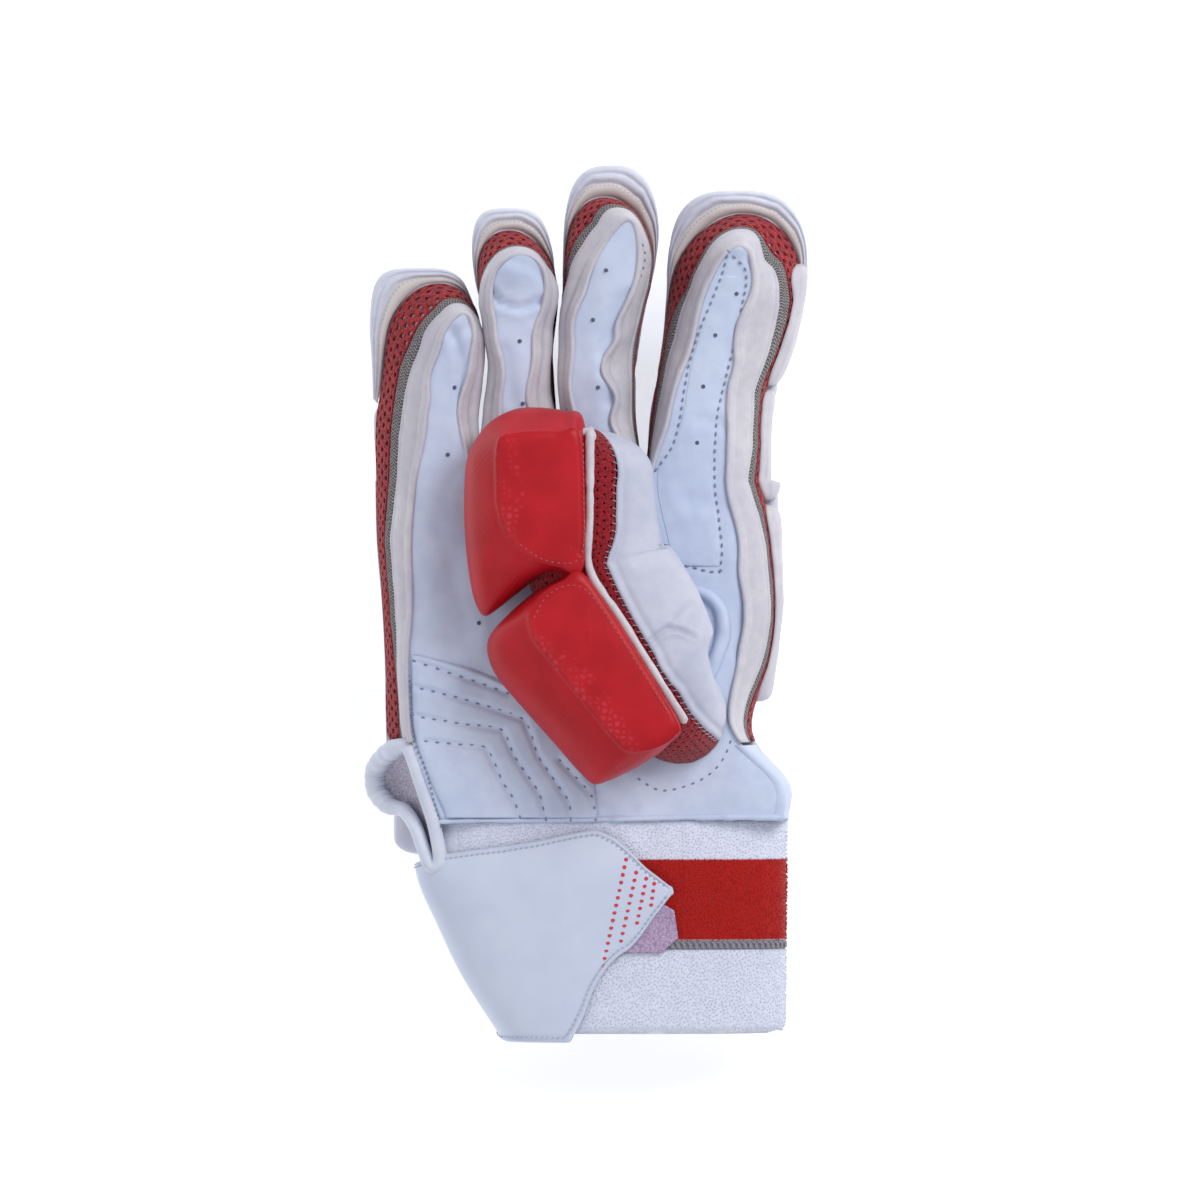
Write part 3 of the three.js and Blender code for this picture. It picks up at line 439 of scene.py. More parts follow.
def settle(obj):
    """The object with its modifiers worked into a plain mesh."""
    bpy.context.view_layer.update()
    graph = bpy.context.evaluated_depsgraph_get()
    mesh = bpy.data.meshes.new_from_object(obj.evaluated_get(graph))
    obj.modifiers.clear()
    obj.data = mesh
    return obj


def thicken(obj, thickness, offset=-1):
    modifier = obj.modifiers.new("Wall", "SOLIDIFY")
    modifier.thickness = thickness / 1000
    modifier.offset = offset
    return settle(obj)


def dress(obj, slot, *nodes):
    """The piece rides with the glove and stands for these nodes, whose solids it hides; slot is not used."""
    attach(obj, "root")
    if nodes:
        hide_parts(*nodes)
    return obj


MM_PER_PIXEL = 0.345
PHOTO_ORIGIN = (587.5, 480)  # the pixel at x = 0 and y = 0


def photo(*pixels):
    """Places read off the photograph, in its pixels, as the source's x and y in mm."""
    return (np.array(pixels, float) - PHOTO_ORIGIN) * [MM_PER_PIXEL, -MM_PER_PIXEL]


def polyline_distance(x, y, line):
    """The distance from each place to a line of straight stretches, in mm."""
    best = np.full(np.shape(x), 1e9)
    for a, b in zip(line[:-1], line[1:]):
        span = b - a
        t = np.clip(((x - a[0]) * span[0] + (y - a[1]) * span[1]) / max(span @ span, 1e-9), 0, 1)
        best = np.minimum(best, np.hypot(x - a[0] - t * span[0], y - a[1] - t * span[1]))
    return best


def run_along(line):
    """How far along a line each of its points lies."""
    return np.concatenate([[0], np.cumsum(np.linalg.norm(np.diff(line, axis=0), axis=1))])


def along_line(line, step):
    """Points every step or so along a line of straight stretches."""
    line = np.asarray(line, float)
    run = run_along(line)
    at = np.linspace(0, run[-1], max(int(run[-1] / step), 1) + 1)
    return np.stack([np.interp(at, run, line[:, k]) for k in range(line.shape[1])], axis=-1)


def curve_through(points, count):
    """A smooth line through a few points, at even steps of their chords."""
    points = np.asarray(points, float)
    run = run_along(points)
    rows = {"run": run, **{str(k): points[:, k] for k in range(points.shape[1])}}
    at = np.linspace(0, run[-1], count)
    return np.stack([sample(rows, "run", str(k), at) for k in range(points.shape[1])], axis=-1)


# %% [markdown]
# ## A workbench for node trees
#
# Materials and Geometry Nodes are both trees of nodes. One class builds either: node() takes a
# node's type, its settings and what goes into its sockets. What it gives back is a Value, and the
# usual operators on Values add Math nodes, so that a pattern reads as the sum it is.

# %% Node trees as expressions
class Value:
    def __init__(self, bench, socket):
        self.bench, self.socket = bench, socket

    def maths(self, operation, *values):
        return self.bench.node("ShaderNodeMath", {"operation": operation}, values)

    def __add__(self, other):
        return self.maths("ADD", self, other)

    def __sub__(self, other):
        return self.maths("SUBTRACT", self, other)

    def __rsub__(self, other):
        return self.maths("SUBTRACT", other, self)

    def __mul__(self, other):
        return self.maths("MULTIPLY", self, other)

    def __truediv__(self, other):
        return self.maths("DIVIDE", self, other)

    __radd__ = __add__
    __rmul__ = __mul__

    def fraction(self):
        return self.maths("FRACT", self)

    def size(self):
        return self.maths("ABSOLUTE", self)

    def sine(self):
        return self.maths("SINE", self)

    def least(self, other):
        return self.maths("MINIMUM", self, other)

    def between(self, low, high):
        """0 at low, 1 at high, and smooth from one to the other."""
        smooth = {"interpolation_type": "SMOOTHSTEP"}
        return self.bench.node("ShaderNodeMapRange", smooth, [self, low, high, 0, 1])


class Bench:
    tree = None

    def node(self, kind, settings=None, sockets=(), output=0):
        made = self.tree.nodes.new(kind)
        for key, value in (settings or {}).items():
            setattr(made, key, value)
        pairs = sockets.items() if isinstance(sockets, dict) else enumerate(sockets)
        for key, value in pairs:
            self.feed(made.inputs[key], value)
        return Value(self, made.outputs[output])

    def feed(self, socket, value):
        if isinstance(value, Value):
            self.tree.links.new(value.socket, socket)
        else:
            socket.default_value = value


def linear(red, green, blue):
    """A colour from 0 to 255, as on a screen, in the linear values that shaders use."""
    share = np.array([red, green, blue]) / 255
    flat = np.where(share <= 0.04045, share / 12.92, ((share + 0.055) / 1.055) ** 2.4)
    return (*flat.tolist(), 1.0)


class Finish(Bench):
    """A material on the Principled shader, with its patterns placed in mm."""

    def __init__(self, name, **constants):
        self.material = bpy.data.materials.new(name)
        self.material.use_nodes = True
        self.tree = self.material.node_tree
        self.shader = self.tree.nodes["Principled BSDF"]
        for socket, value in constants.items():
            self.shader.inputs[socket.replace("_", " ")].default_value = value
        place = self.node("ShaderNodeTexCoord", output=3)
        self.place = self.node("ShaderNodeVectorMath", {"operation": "SCALE"}, {0: place, 3: 1000.0})

    def axes(self, vector):
        split = self.node("ShaderNodeSeparateXYZ", sockets=[vector])
        return [Value(self, output) for output in split.socket.node.outputs]

    def along(self):
        """The piece's own map: mm along it and mm across it."""
        uv = self.node("ShaderNodeUVMap", {"uv_map": "Along"})
        scaled = self.node("ShaderNodeVectorMath", {"operation": "SCALE"}, {0: uv, 3: 10.0})
        return self.axes(scaled)[:2]

    def noise(self, size, detail=2.0, rough=0.5, stretch=(1, 1, 1), warp=0.0):
        """Noise from 0 to 1 whose bumps are size mm across, longer where stretch is above 1."""
        where = self.node("ShaderNodeVectorMath", {"operation": "DIVIDE"},
                          [self.place, [size * share for share in stretch]])
        names = {"Vector": where, "Scale": 1.0, "Detail": detail, "Roughness": rough, "Distortion": warp}
        return self.node("ShaderNodeTexNoise", sockets=names)

    def cells(self, size, feature="F1", spread=1.0):
        where = self.node("ShaderNodeVectorMath", {"operation": "DIVIDE"}, [self.place, [size] * 3])
        return self.node("ShaderNodeTexVoronoi", {"feature": feature},
                         {"Vector": where, "Scale": 1.0, "Randomness": spread})

    def mix(self, share, low, high):
        return self.node("ShaderNodeMix", {"data_type": "RGBA"}, {0: share, 6: low, 7: high}, 2)

    def color(self, value):
        self.feed(self.shader.inputs["Base Color"], value)

    def rough(self, value):
        self.feed(self.shader.inputs["Roughness"], value)

    def relief(self, height, depth, strength=1.0):
        """Bumps from a height of 0 to 1 that stands for depth mm."""
        sockets = {"Strength": strength, "Distance": depth / 1000, "Height": height}
        bump = self.node("ShaderNodeBump", sockets=sockets)
        self.feed(self.shader.inputs["Normal"], bump)


class Growth(Bench):
    """A Geometry Nodes tree with named sizes, worked into a plain mesh on the object it is used on."""

    def __init__(self, name, **sizes):
        self.tree = bpy.data.node_groups.new(name, "GeometryNodeTree")
        face = self.tree.interface
        face.new_socket("Geometry", in_out="INPUT", socket_type="NodeSocketGeometry")
        for label, value in sizes.items():
            kind = "NodeSocketMaterial" if label == "finish" else "NodeSocketFloat"
            socket = face.new_socket(label, in_out="INPUT", socket_type=kind)
            if label != "finish":
                socket.default_value = value
        face.new_socket("Geometry", in_out="OUTPUT", socket_type="NodeSocketGeometry")
        given = self.tree.nodes.new("NodeGroupInput")
        self.given = {output.name: Value(self, output) for output in given.outputs if output.name}
        self.result = self.tree.nodes.new("NodeGroupOutput")

    def end(self, geometry):
        whole = self.node("GeometryNodeRealizeInstances", sockets=[geometry])
        sockets = {"Geometry": whole, "Material": self.given["finish"]}
        painted = self.node("GeometryNodeSetMaterial", sockets=sockets)
        self.feed(self.result.inputs[0], painted)

    def use(self, obj, finish, **sizes):
        modifier = obj.modifiers.new("Growth", "NODES")
        modifier.node_group = self.tree
        for item in self.tree.interface.items_tree:
            if item.in_out == "INPUT" and item.name in sizes:
                modifier[item.identifier] = float(sizes[item.name])
            elif item.in_out == "INPUT" and item.name == "finish":
                modifier[item.identifier] = finish.material
        return settle(obj)

# %% [markdown]
# ## Finishes of the leather and cloth
#
# The palm is thin white leather, cool in tone, with a fine grain that only catches the light at
# its edges. The gussets are a warmer, softer leather, and the guards are wrapped in the same kind
# with a smoother coat. Grain is a bump of small cells; creases are a wider, stretched noise. Colour
# varies by a few percent only, since new leather is even.

# %% Leather finishes
def leather_finish(name, light, shade, grain=0.7, crease=5.0, roughness=0.5, depth=0.11):
    finish = Finish(name, Specular_IOR_Level=0.35, Sheen_Weight=0.08)
    soft = finish.noise(crease, detail=3.0)
    cloudy = finish.noise(26)
    pores = finish.cells(grain, "DISTANCE_TO_EDGE")
    finish.color(finish.mix((cloudy * 0.6 + soft * 0.4).between(0.3, 0.7), shade, light))
    finish.rough(roughness + (soft - 0.5) * 0.16)
    finish.relief(soft * 0.8 + pores.least(0.25) * 0.7, depth, 0.7)
    return finish


palm_finish = leather_finish("palm leather", linear(206, 217, 238), linear(192, 204, 229))
gusset_finish = leather_finish("gusset leather", linear(208, 205, 210), linear(190, 187, 198), crease=3.5)
guard_finish = leather_finish("guard leather", linear(222, 225, 236), linear(206, 209, 224), roughness=0.42)
stall_finish = leather_finish("thumb leather", linear(196, 198, 211), linear(180, 184, 203), roughness=0.5)
strap_finish = leather_finish("strap leather", linear(210, 218, 236), linear(202, 211, 231),
                              grain=0.5, crease=9.0, roughness=0.38, depth=0.05)
binding_finish = leather_finish("binding leather", linear(220, 226, 238), linear(206, 212, 228), crease=4.0)


def plain_finish(name, color, roughness, size=0.8, depth=0.1, **constants):
    """Thread, print and other small things: one colour, broken up by fine noise."""
    finish = Finish(name, **constants)
    speck = finish.noise(size)
    dark = [share * 0.75 for share in color[:3]] + [1.0]
    finish.color(finish.mix(speck.between(0.25, 0.6), dark, color))
    finish.rough(roughness + (speck - 0.5) * 0.1)
    finish.relief(speck, depth)
    return finish


thread_finish = plain_finish("grey thread", linear(132, 140, 166), 0.7)
pale_thread_finish = plain_finish("pale thread", linear(190, 176, 192), 0.7)
cuff_thread_finish = plain_finish("thread of the cuff", linear(150, 148, 156), 0.85)
strap_thread_finish = plain_finish("thread of the strap", linear(176, 184, 204), 0.6)
dot_finish = plain_finish("printed dots", linear(214, 60, 76), 0.5, size=0.4, depth=0.03)
guard_thread_finish = plain_finish("thread of the red guards", linear(176, 92, 104), 0.7)
# The vents' dark blue-grey is painted shade for the inside of each hole.
vent_shade_finish = plain_finish("vent hole", linear(88, 92, 116), 0.9)
lining_finish = plain_finish("net lining", linear(236, 228, 236), 0.9, size=0.5)
# A dark red sheet behind the thumb's net: painted shade of the hollow stall, seen through the holes.
thumb_hollow_shade_finish = plain_finish("thumb hollow shade", linear(140, 14, 28), 0.9, size=0.5)
piping_finish = leather_finish("piping leather", linear(212, 210, 214), linear(188, 184, 192), crease=2.5)

# The coated red leather of the thumb's guards. Its map runs from 0 to 100 round a guard and from 0
# at its foot over 10 at the flat face's edge to 18 at the crown.
FULL_TURN = 6.2832
red_finish = Finish("red guard leather", Specular_IOR_Level=0.28)
around, level = red_finish.along()
cloudy = red_finish.noise(14)
grain = red_finish.cells(0.8, "DISTANCE_TO_EDGE")
x, y, z = red_finish.axes(red_finish.place)
slanted = ((x * 0.78 - y * 0.62) / 1.35 * FULL_TURN).sine() * 0.5 + 0.5
on_bevel = level.between(3.5, 5.0) * (1 - level.between(7.2, 8.2))
lines = slanted.between(0.2, 0.8) * on_bevel
scales = red_finish.cells(2.3, "DISTANCE_TO_EDGE", 0.6)
sheen = red_finish.noise(7).between(0.38, 0.62)
at_edge = level.between(8.4, 9.2) * (1 - level.between(11.5, 13.0))
side = around.between(25, 34) * (1 - around.between(66, 74))
# The spots are embossed scales with real relief and lower roughness; their lighter red is a painted
# highlight, the sheen that they catch on one side of the flat face's edge.
spots = scales.between(0.05, 0.4) * at_edge * side * sheen
red = red_finish.mix(cloudy.between(0.3, 0.7), linear(172, 12, 24), linear(188, 16, 30))
red = red_finish.mix(lines * 0.35, red, linear(176, 34, 48))
red_finish.color(red_finish.mix(spots * 0.3, red, linear(224, 84, 100)))
red_finish.rough(0.44 - spots * 0.12 + (cloudy - 0.5) * 0.1)
red_finish.relief(grain.least(0.3) * 0.5 + lines * 0.25 + spots * 0.6, 0.12, 0.6)

# %% [markdown]
# ## Knitted finishes
#
# The red net is a knit of thick yarn round open holes. The holes are real geometry below; the yarn
# between them is a bump of small twisted cells, with painted shade in the gaps between them. The grey
# tape is a herringbone whose ribs run zigzag along it, so its pattern follows the piece's own map, in mm
# along and across.

# %% Net and tape finishes
def net_finish_of(name, light, dark):
    finish = Finish(name, Specular_IOR_Level=0.25, Sheen_Weight=0.2)
    yarn = finish.cells(0.95, "SMOOTH_F1", 0.9)
    twist = finish.noise(0.5, detail=2.0, warp=1.2)
    # Where the yarn's cells meet, the colour goes to the dark one: painted shade in the gaps, which the bump
    # also sinks.
    gap_depth_and_shade = (yarn * 0.75 + twist * 0.45).between(0.3, 0.85)
    finish.color(finish.mix(gap_depth_and_shade, light, dark))
    finish.rough(0.8 + (twist - 0.5) * 0.2)
    finish.relief(1 - gap_depth_and_shade, 0.55, 0.9)
    return finish


# The second colour of each net is the painted shade in the gaps between its yarn.
net_finish = net_finish_of("red net", linear(190, 24, 38), linear(96, 6, 16))
thumb_net_finish = net_finish_of("thumb net", linear(168, 20, 36), linear(122, 10, 24))

# The tape's herringbone: ribs that run along it and turn back every 1.1 mm across it.
tape_finish = Finish("herringbone tape", Specular_IOR_Level=0.15, Roughness=0.9)
run, across = tape_finish.along()
zigzag = ((across / 2.2).fraction() - 0.5).size() * 2.2
yarn = (((run + zigzag) / 1.15).fraction() - 0.5).size().between(0.12, 0.38)
flecks = tape_finish.noise(0.8).between(0.35, 0.65)
tape_finish.color(tape_finish.mix(yarn * 0.7 + flecks * 0.3, linear(74, 69, 69), linear(172, 167, 168)))
tape_finish.relief(yarn, 0.4, 1.0)
print("finishes", [m.name for m in bpy.data.materials][:12])

# %% [markdown]
# ## The palm's surface
#
# Everything on the palm side lies on one height field: the leather itself, the quilted heel, the
# index finger's patch, every stitch and vent hole. So it is worked out once, as a function of x and
# y. Each finger's face is a low cushion that dips to its seams; folds read off the photograph are
# grooves with raised lips; the rest is a slow unevenness of a sheet that a hand has bent.

# %% Height of the palm
# places along the fold in the photograph, depth (below 0 for a ridge) and width in mm
FOLDS = [
    ([(453, 332), (462, 362), (463, 395), (466, 420)], 0.9, 1.7),
    ([(476, 312), (466, 330), (456, 338)], 0.6, 1.6),
    ([(492, 292), (500, 304), (520, 310), (540, 303), (560, 290)], 1.5, 1.2),
    ([(508, 262), (530, 268), (548, 280)], 0.4, 1.6),
    ([(506, 352), (512, 400)], 0.5, 2.2),
    ([(535, 340), (533, 400)], 0.4, 2.0),
    ([(640, 232), (648, 256), (640, 284), (628, 296)], 0.5, 1.2),
    ([(622, 300), (612, 330), (604, 352)], 0.7, 2.6),
    ([(603, 300), (592, 340), (596, 380)], -0.5, 4.0),
    ([(632, 340), (616, 352), (604, 372)], 0.7, 1.8),
    ([(634, 380), (620, 388), (610, 402)], 0.7, 1.8),
    ([(752, 262), (768, 282), (772, 300)], 0.9, 1.7),
    ([(742, 330), (748, 362), (738, 396)], 0.5, 2.4),
    ([(722, 250), (748, 252), (764, 268)], -0.5, 1.6),
    ([(700, 420), (735, 428)], 0.35, 2.2),
    ([(690, 500), (740, 506)], 0.3, 3.0),
    ([(468, 520), (440, 600), (424, 640)], 0.25, 4.0),
    ([(430, 470), (424, 540), (434, 610)], -0.3, 5.0),
    ([(744, 470), (750, 560), (742, 650)], 0.6, 3.0),
    ([(452, 560), (470, 640)], 0.3, 3.0),
    ([(640, 800), (668, 778), (706, 770)], 0.5, 2.6),
    ([(588, 776), (604, 800), (608, 818)], 0.7, 1.8),
    ([(622, 780), (632, 806)], 0.6, 2.0),
]
# middle, half sizes and height of each broad swelling: finger tips, and the flesh under the palm
SWELLS = [((512, 270), 24, 22, 2.6), ((470, 320), 16, 22, 0.8), ((606, 255), 26, 34, 1.2),
          ((728, 240), 22, 18, 0.8), ((735, 790), 52, 34, 1.6), ((440, 520), 34, 70, 1.0)]


# Lines of thread on the palm: pitch and length of a stitch in mm, and places in the photograph.
THREADS = {
    "heel edge": (3.9, 1.6, [(414, 661), (448, 672), (477, 682), (508, 693)]),
    "heel second": (3.9, 1.6, [(411, 686), (444, 694), (477, 703), (524, 720), (539, 757), (558, 785),
         (569, 802), (571, 819)]),
    "heel third": (3.9, 1.6, [(412, 715), (440, 720), (467, 724), (502, 730), (515, 757), (539, 793),
         (546, 819)]),
    "heel fourth": (3.9, 1.6, [(426, 741), (456, 744), (486, 748), (502, 780), (514, 800), (520, 817)]),
    "heel faint": (3.6, 1.3, [(560, 760), (591, 795), (596, 819)]),
    "palm left": (1.9, 1.1, [(407, 653), (410, 685), (415, 743), (426, 771), (434, 800), (441, 826)]),
    "index left": (2.9, 1.7, [(726, 259), (720, 280), (707, 312), (696, 340), (688, 369), (684, 392),
         (679, 422), (672, 447), (656, 470)]),
    "index right": (2.9, 1.7, [(728, 253), (745, 274), (739, 320), (735, 340), (726, 377), (718, 411),
         (715, 445), (715, 487), (719, 519), (722, 552), (720, 571)]),
    "index foot": (2.9, 1.7, [(678, 564), (695, 568), (712, 572), (720, 571)]),
    "middle left": (2.9, 1.5, [(565, 380), (567, 410)]),
    "middle tip": (2.8, 1.4, [(640, 240), (645, 257), (640, 280), (631, 290)]),
    "thumb root": (3.1, 1.4, [(730, 742), (724, 757), (714, 770), (702, 779), (688, 785), (674, 789),
         (658, 790), (639, 779)]),
}


def thread_pull(x, y):
    """How deep the threads pull the leather in, in mm."""
    deep = np.zeros(np.shape(x))
    for _, _, line in THREADS.values():
        away = polyline_distance(x, y, photo(*line))
        deep = np.maximum(deep, np.exp(-(away / 1.1) ** 2))
    return deep


def finger_share(name, x, y):
    """-1 at the left seam of a finger's face, 1 at its right, for places beside it."""
    finger = FINGERS[name]
    along = np.clip(y / (finger["length"] * finger["face_reach"]), 0, 1)
    left = finger_edge(name, "face", -1, along)[..., 0]
    right = finger_edge(name, "face", 1, along)[..., 0]
    return (2 * x - left - right) / np.maximum(right - left, 2.0)


def nearest_finger(x, y):
    shares = np.stack([finger_share(name, x, y) for name in FINGERS])
    return np.take_along_axis(shares, np.abs(shares).argmin(axis=0)[None], axis=0)[0]


def palm_share(x, y):
    """-1 at the palm's left seam and 1 at its right one."""
    down = np.clip(-y / PALM_LENGTH, 0, 1)
    left = palm_edge("face", -1, down)[..., 0]
    right = palm_edge("face", 1, down)[..., 0]
    return (2 * x - left - right) / (right - left)


def broad_level(x, y):
    """The palm without its folds and grain."""
    x, y = np.asarray(x, float), np.asarray(y, float)
    share = np.clip(np.abs(nearest_finger(x, y)), 0, 1)
    wide = np.clip(np.abs(palm_share(x, y)), 0, 1)
    on_finger = ease(y, -6, 22)
    cushion = on_finger * (0.9 * (1 - share ** 2) - 0.9 * share ** 9)
    cushion = cushion - (1 - on_finger) * 0.9 * wide ** 40
    level = PALM_TOP + rise(y) + cushion
    for middle, half_x, half_y, height in SWELLS:
        mx, my = photo(middle)[0]
        reach = ((x - mx) / (half_x * MM_PER_PIXEL)) ** 2 + ((y - my) / (half_y * MM_PER_PIXEL)) ** 2
        level = level + height * np.exp(-reach)
    return level


def palm_level(x, y):
    """The palm with its folds."""
    x, y = np.asarray(x, float), np.asarray(y, float)
    level = broad_level(x, y)
    for pixels, depth, width in FOLDS:
        away = polyline_distance(x, y, photo(*pixels)) / width
        level = level - depth * np.exp(-away ** 2) + 0.4 * depth * np.exp(-(away - 1.9) ** 2)
    level = level + 0.35 * ripple(x, y, 9, 17, 11) + 0.16 * ripple(x, y, 3.6, 6, 12)
    return level - 0.3 * thread_pull(x, y)


print("palm height at its middle", float(palm_level(0.0, -60.0)).__round__(2), "mm")

# %% [markdown]
# ## The palm leather
#
# The real palm is one cut hide with four finger faces. Here it is one grid for each finger and one
# below the knuckles that share their edge, dropped onto the height field, with the hole that the
# thumb opens into. Solidify then gives it the thickness of leather, downwards, so that the surface
# stays where it was measured.

# %% Palm leather
SEAM_ROOM = 1.1  # how far the face stays inside the seam, whose roll covers its edge
ACROSS = 22


def face_grid(name):
    left, right = (finger_edge(name, "face", side, FINGER_STATIONS)[:, :2] for side in (-1, 1))
    middle, half = (left + right) / 2, (right - left) / 2
    half = half * np.maximum(1 - SEAM_ROOM / np.maximum(half[:, :1], 0.01), 0)
    top = FINGERS[name]["length"] * FINGERS[name]["face_reach"]
    middle[:, 1] *= (top - SEAM_ROOM) / top
    shares = np.linspace(-1, 1, ACROSS + 1)
    return middle[:, None] + half[:, None] * shares[None, :, None]


finger_grids = {name: face_grid(name) for name in FINGERS}
knuckles = np.concatenate([grid[0] for grid in finger_grids.values()])
downs = np.concatenate([[0], PALM_STATIONS])
left_edge = palm_edge("face", -1, downs)[:, 0] + SEAM_ROOM
right_edge = palm_edge("face", 1, downs)[:, 0] - SEAM_ROOM
shares = (knuckles[:, 0] - knuckles[0, 0]) / (knuckles[-1, 0] - knuckles[0, 0])
body_x = left_edge[:, None] * (1 - shares) + right_edge[:, None] * shares
body_grid = np.stack([body_x, np.repeat(-downs * PALM_LENGTH, len(shares)).reshape(body_x.shape)], axis=-1)


def join_grids(fingers, body):
    """The points and faces of the fingers' grids and of the one below the knuckles."""
    points, faces = [], []
    for grid in [*fingers, body]:
        start = sum(len(part) for part in points)
        quads = grid_quads(*grid.shape[:2])
        points.append(grid.reshape(-1, grid.shape[2]))
        faces.extend(((quads[:, ::-1] if grid is body else quads) + start).tolist())
    return np.concatenate(points), faces


flat_points, flat_faces = join_grids(finger_grids.values(), body_grid)

# The hole that the thumb opens into: an ellipse, turned by the thumb's lean.
ROOTWARD = np.array([math.sin(THUMB_LEAN), -math.cos(THUMB_LEAN), 0.0])
JOINT = np.array([0.0, -0.265 * PALM_LENGTH, 0.0])
FOLD = JOINT + ROOTWARD * THUMB_ROOT_LENGTH + [0, 0, PALM_TOP + GAP]
hole_middle = FOLD[:2] + ROOTWARD[:2] * THUMB_ROOT_REACH / 2
hole_across = np.array([-ROOTWARD[1], ROOTWARD[0]])
offset = flat_points - hole_middle
in_hole = ((offset @ ROOTWARD[:2]) / (THUMB_ROOT_REACH / 2 - LEATHER)) ** 2
in_hole += ((offset @ hole_across) / (0.4 * THUMB_WIDTH - LEATHER)) ** 2
kept = [face for face in flat_faces if in_hole[face].mean() > 1]
palm_points = np.column_stack([flat_points, palm_level(flat_points[:, 0], flat_points[:, 1])])
used = sorted({i for face in kept for i in face})
place_of = {old: new for new, old in enumerate(used)}
palm_faces = [[place_of[i] for i in face] for face in kept]
palm = make("palm", palm_points[used], palm_faces, palm_finish, closed=False)


def weld(obj, distance=0.02):
    modifier = obj.modifiers.new("Weld", "WELD")
    modifier.merge_threshold = distance / 1000
    return settle(obj)


thicken(weld(palm), LEATHER)
dress(palm, "leather", "palm_leather")
print("palm leather", len(palm.data.polygons), "faces")

# %% [markdown]
# ## The back of the hand
#
# A cloth sheet closes the glove between the hand and its guards. It hardly shows, so it only
# follows the outline of the back, with a slight slackness between the fingers.

# %% Back fabric
def back_grid(name):
    left, right = (finger_edge(name, "back", side, FINGER_STATIONS) for side in (-1, 1))
    return spread(left, right, np.linspace(0.02, 0.98, 9))


back_fingers = [back_grid(name) for name in FINGERS]
back_knuckles = np.concatenate([grid[0] for grid in back_fingers])
back_share = (back_knuckles[:, 0] - back_knuckles[0, 0]) / (back_knuckles[-1, 0] - back_knuckles[0, 0])
back_body = spread(*(palm_edge("back", side, downs[::3]) for side in (-1, 1)), back_share)
back_points, back_faces = join_grids(back_fingers, back_body)
back_points[:, 2] += -GAP + 0.1 * ripple(back_points[:, 0], back_points[:, 1], 11, 15, 21)
back = make("back_sheet", back_points, back_faces, guard_finish, closed=False)
thicken(weld(back), LEATHER)
dress(back, "lining", "back_fabric")

# %% [markdown]
# ## Terry, towelling and hook tape
#
# Loops of geometry carry the terry's look, so its shader only adds the twist of the yarn. The base
# cloth under the loops has the same colour, with painted shade between the knots of yarn. Hook tape
# is a field of tiny stiff hooks, too small to model, so cells stand for them.

# %% Terry finishes
def terry_like(name, light, shade, size=0.9, depth=0.4):
    finish = Finish(name, Specular_IOR_Level=0.15, Sheen_Weight=0.25, Roughness=0.95)
    knot_relief_and_shade = finish.cells(size, "F1")
    fluff = finish.noise(0.5, detail=3.0)
    cloudy = finish.noise(9)
    # Away from each knot the colour goes to the shade one: painted shade between the loops of yarn. The fluff
    # and the cloudy noise add random tone.
    finish.color(finish.mix((knot_relief_and_shade * 0.6 + fluff * 0.3 + cloudy * 0.3).between(0.25, 0.85), light, shade))
    finish.relief(fluff * 0.5 + (1 - knot_relief_and_shade) * 0.6, depth, 0.8)
    return finish


terry_finish = terry_like("white terry", linear(238, 241, 252), linear(222, 226, 241), depth=0.1)
stripe_finish = terry_like("red terry", linear(192, 34, 28), linear(150, 20, 16), depth=0.15)
towel_finish = terry_like("towelling", linear(214, 208, 220), linear(160, 154, 172), size=0.7)
hook_finish = terry_like("hook tape", linear(206, 182, 210), linear(158, 134, 168), size=0.75, depth=0.3)

# The cuff's cloth is white with the red stripe and the grey line knitted in, at places along y.
cloth_finish = terry_like("cuff cloth", linear(230, 234, 247), linear(216, 220, 236), depth=0.1)
x, y, z = cloth_finish.axes(cloth_finish.place)
STRIPE_TOP, STRIPE_END, DASH_END = (photo((700, row))[0][1] for row in (859, 940, 950))
stripe_top, stripe_end, line_end = (edge + SHIFT[1] for edge in (STRIPE_TOP, STRIPE_END, DASH_END))
in_stripe = y.between(stripe_top + 0.4, stripe_top - 0.4) * y.between(stripe_end - 0.4, stripe_end + 0.4)
in_line = y.between(stripe_end + 0.3, stripe_end - 0.3) * y.between(line_end - 0.3, line_end + 0.3)
white = Value(cloth_finish, cloth_finish.shader.inputs["Base Color"].links[0].from_socket)
dyed = cloth_finish.mix(in_stripe, white, linear(178, 26, 22))
cloth_finish.color(cloth_finish.mix(in_line, dyed, linear(132, 130, 138)))

# The rim of a guard: its map runs across it from 0 at the net to 10, and the cream band ends at 4.2.
rim_finish = leather_finish("guard rim", linear(222, 225, 236), linear(206, 209, 224), crease=2.5)
run, across = rim_finish.along()
cover = Value(rim_finish, rim_finish.shader.inputs["Base Color"].links[0].from_socket)
holes = ((run / 1.6).fraction() - 0.5).size().between(0.3, 0.16) * (across - 3.4).size().between(0.22, 0.1)
band = rim_finish.mix(across.between(4.25, 4.05), cover, linear(214, 208, 206))
rim_finish.color(rim_finish.mix(holes * 0.6, band, linear(150, 142, 146)))


# %% [markdown]
# ## The side walls
#
# Each finger's wall is sewn from three strips: a white leather gusset at the palm's seam, a grey
# herringbone tape, and red net at the foot. The gusset starts as a soft roll, where leather is turned
# over the seam's cord, then a stitched groove, then a puff. A profile drawn once, as shares of the
# wall's height and mm away from it, is carried round the outline. A slow noise on its puff keeps it
# from looking like an extrusion.

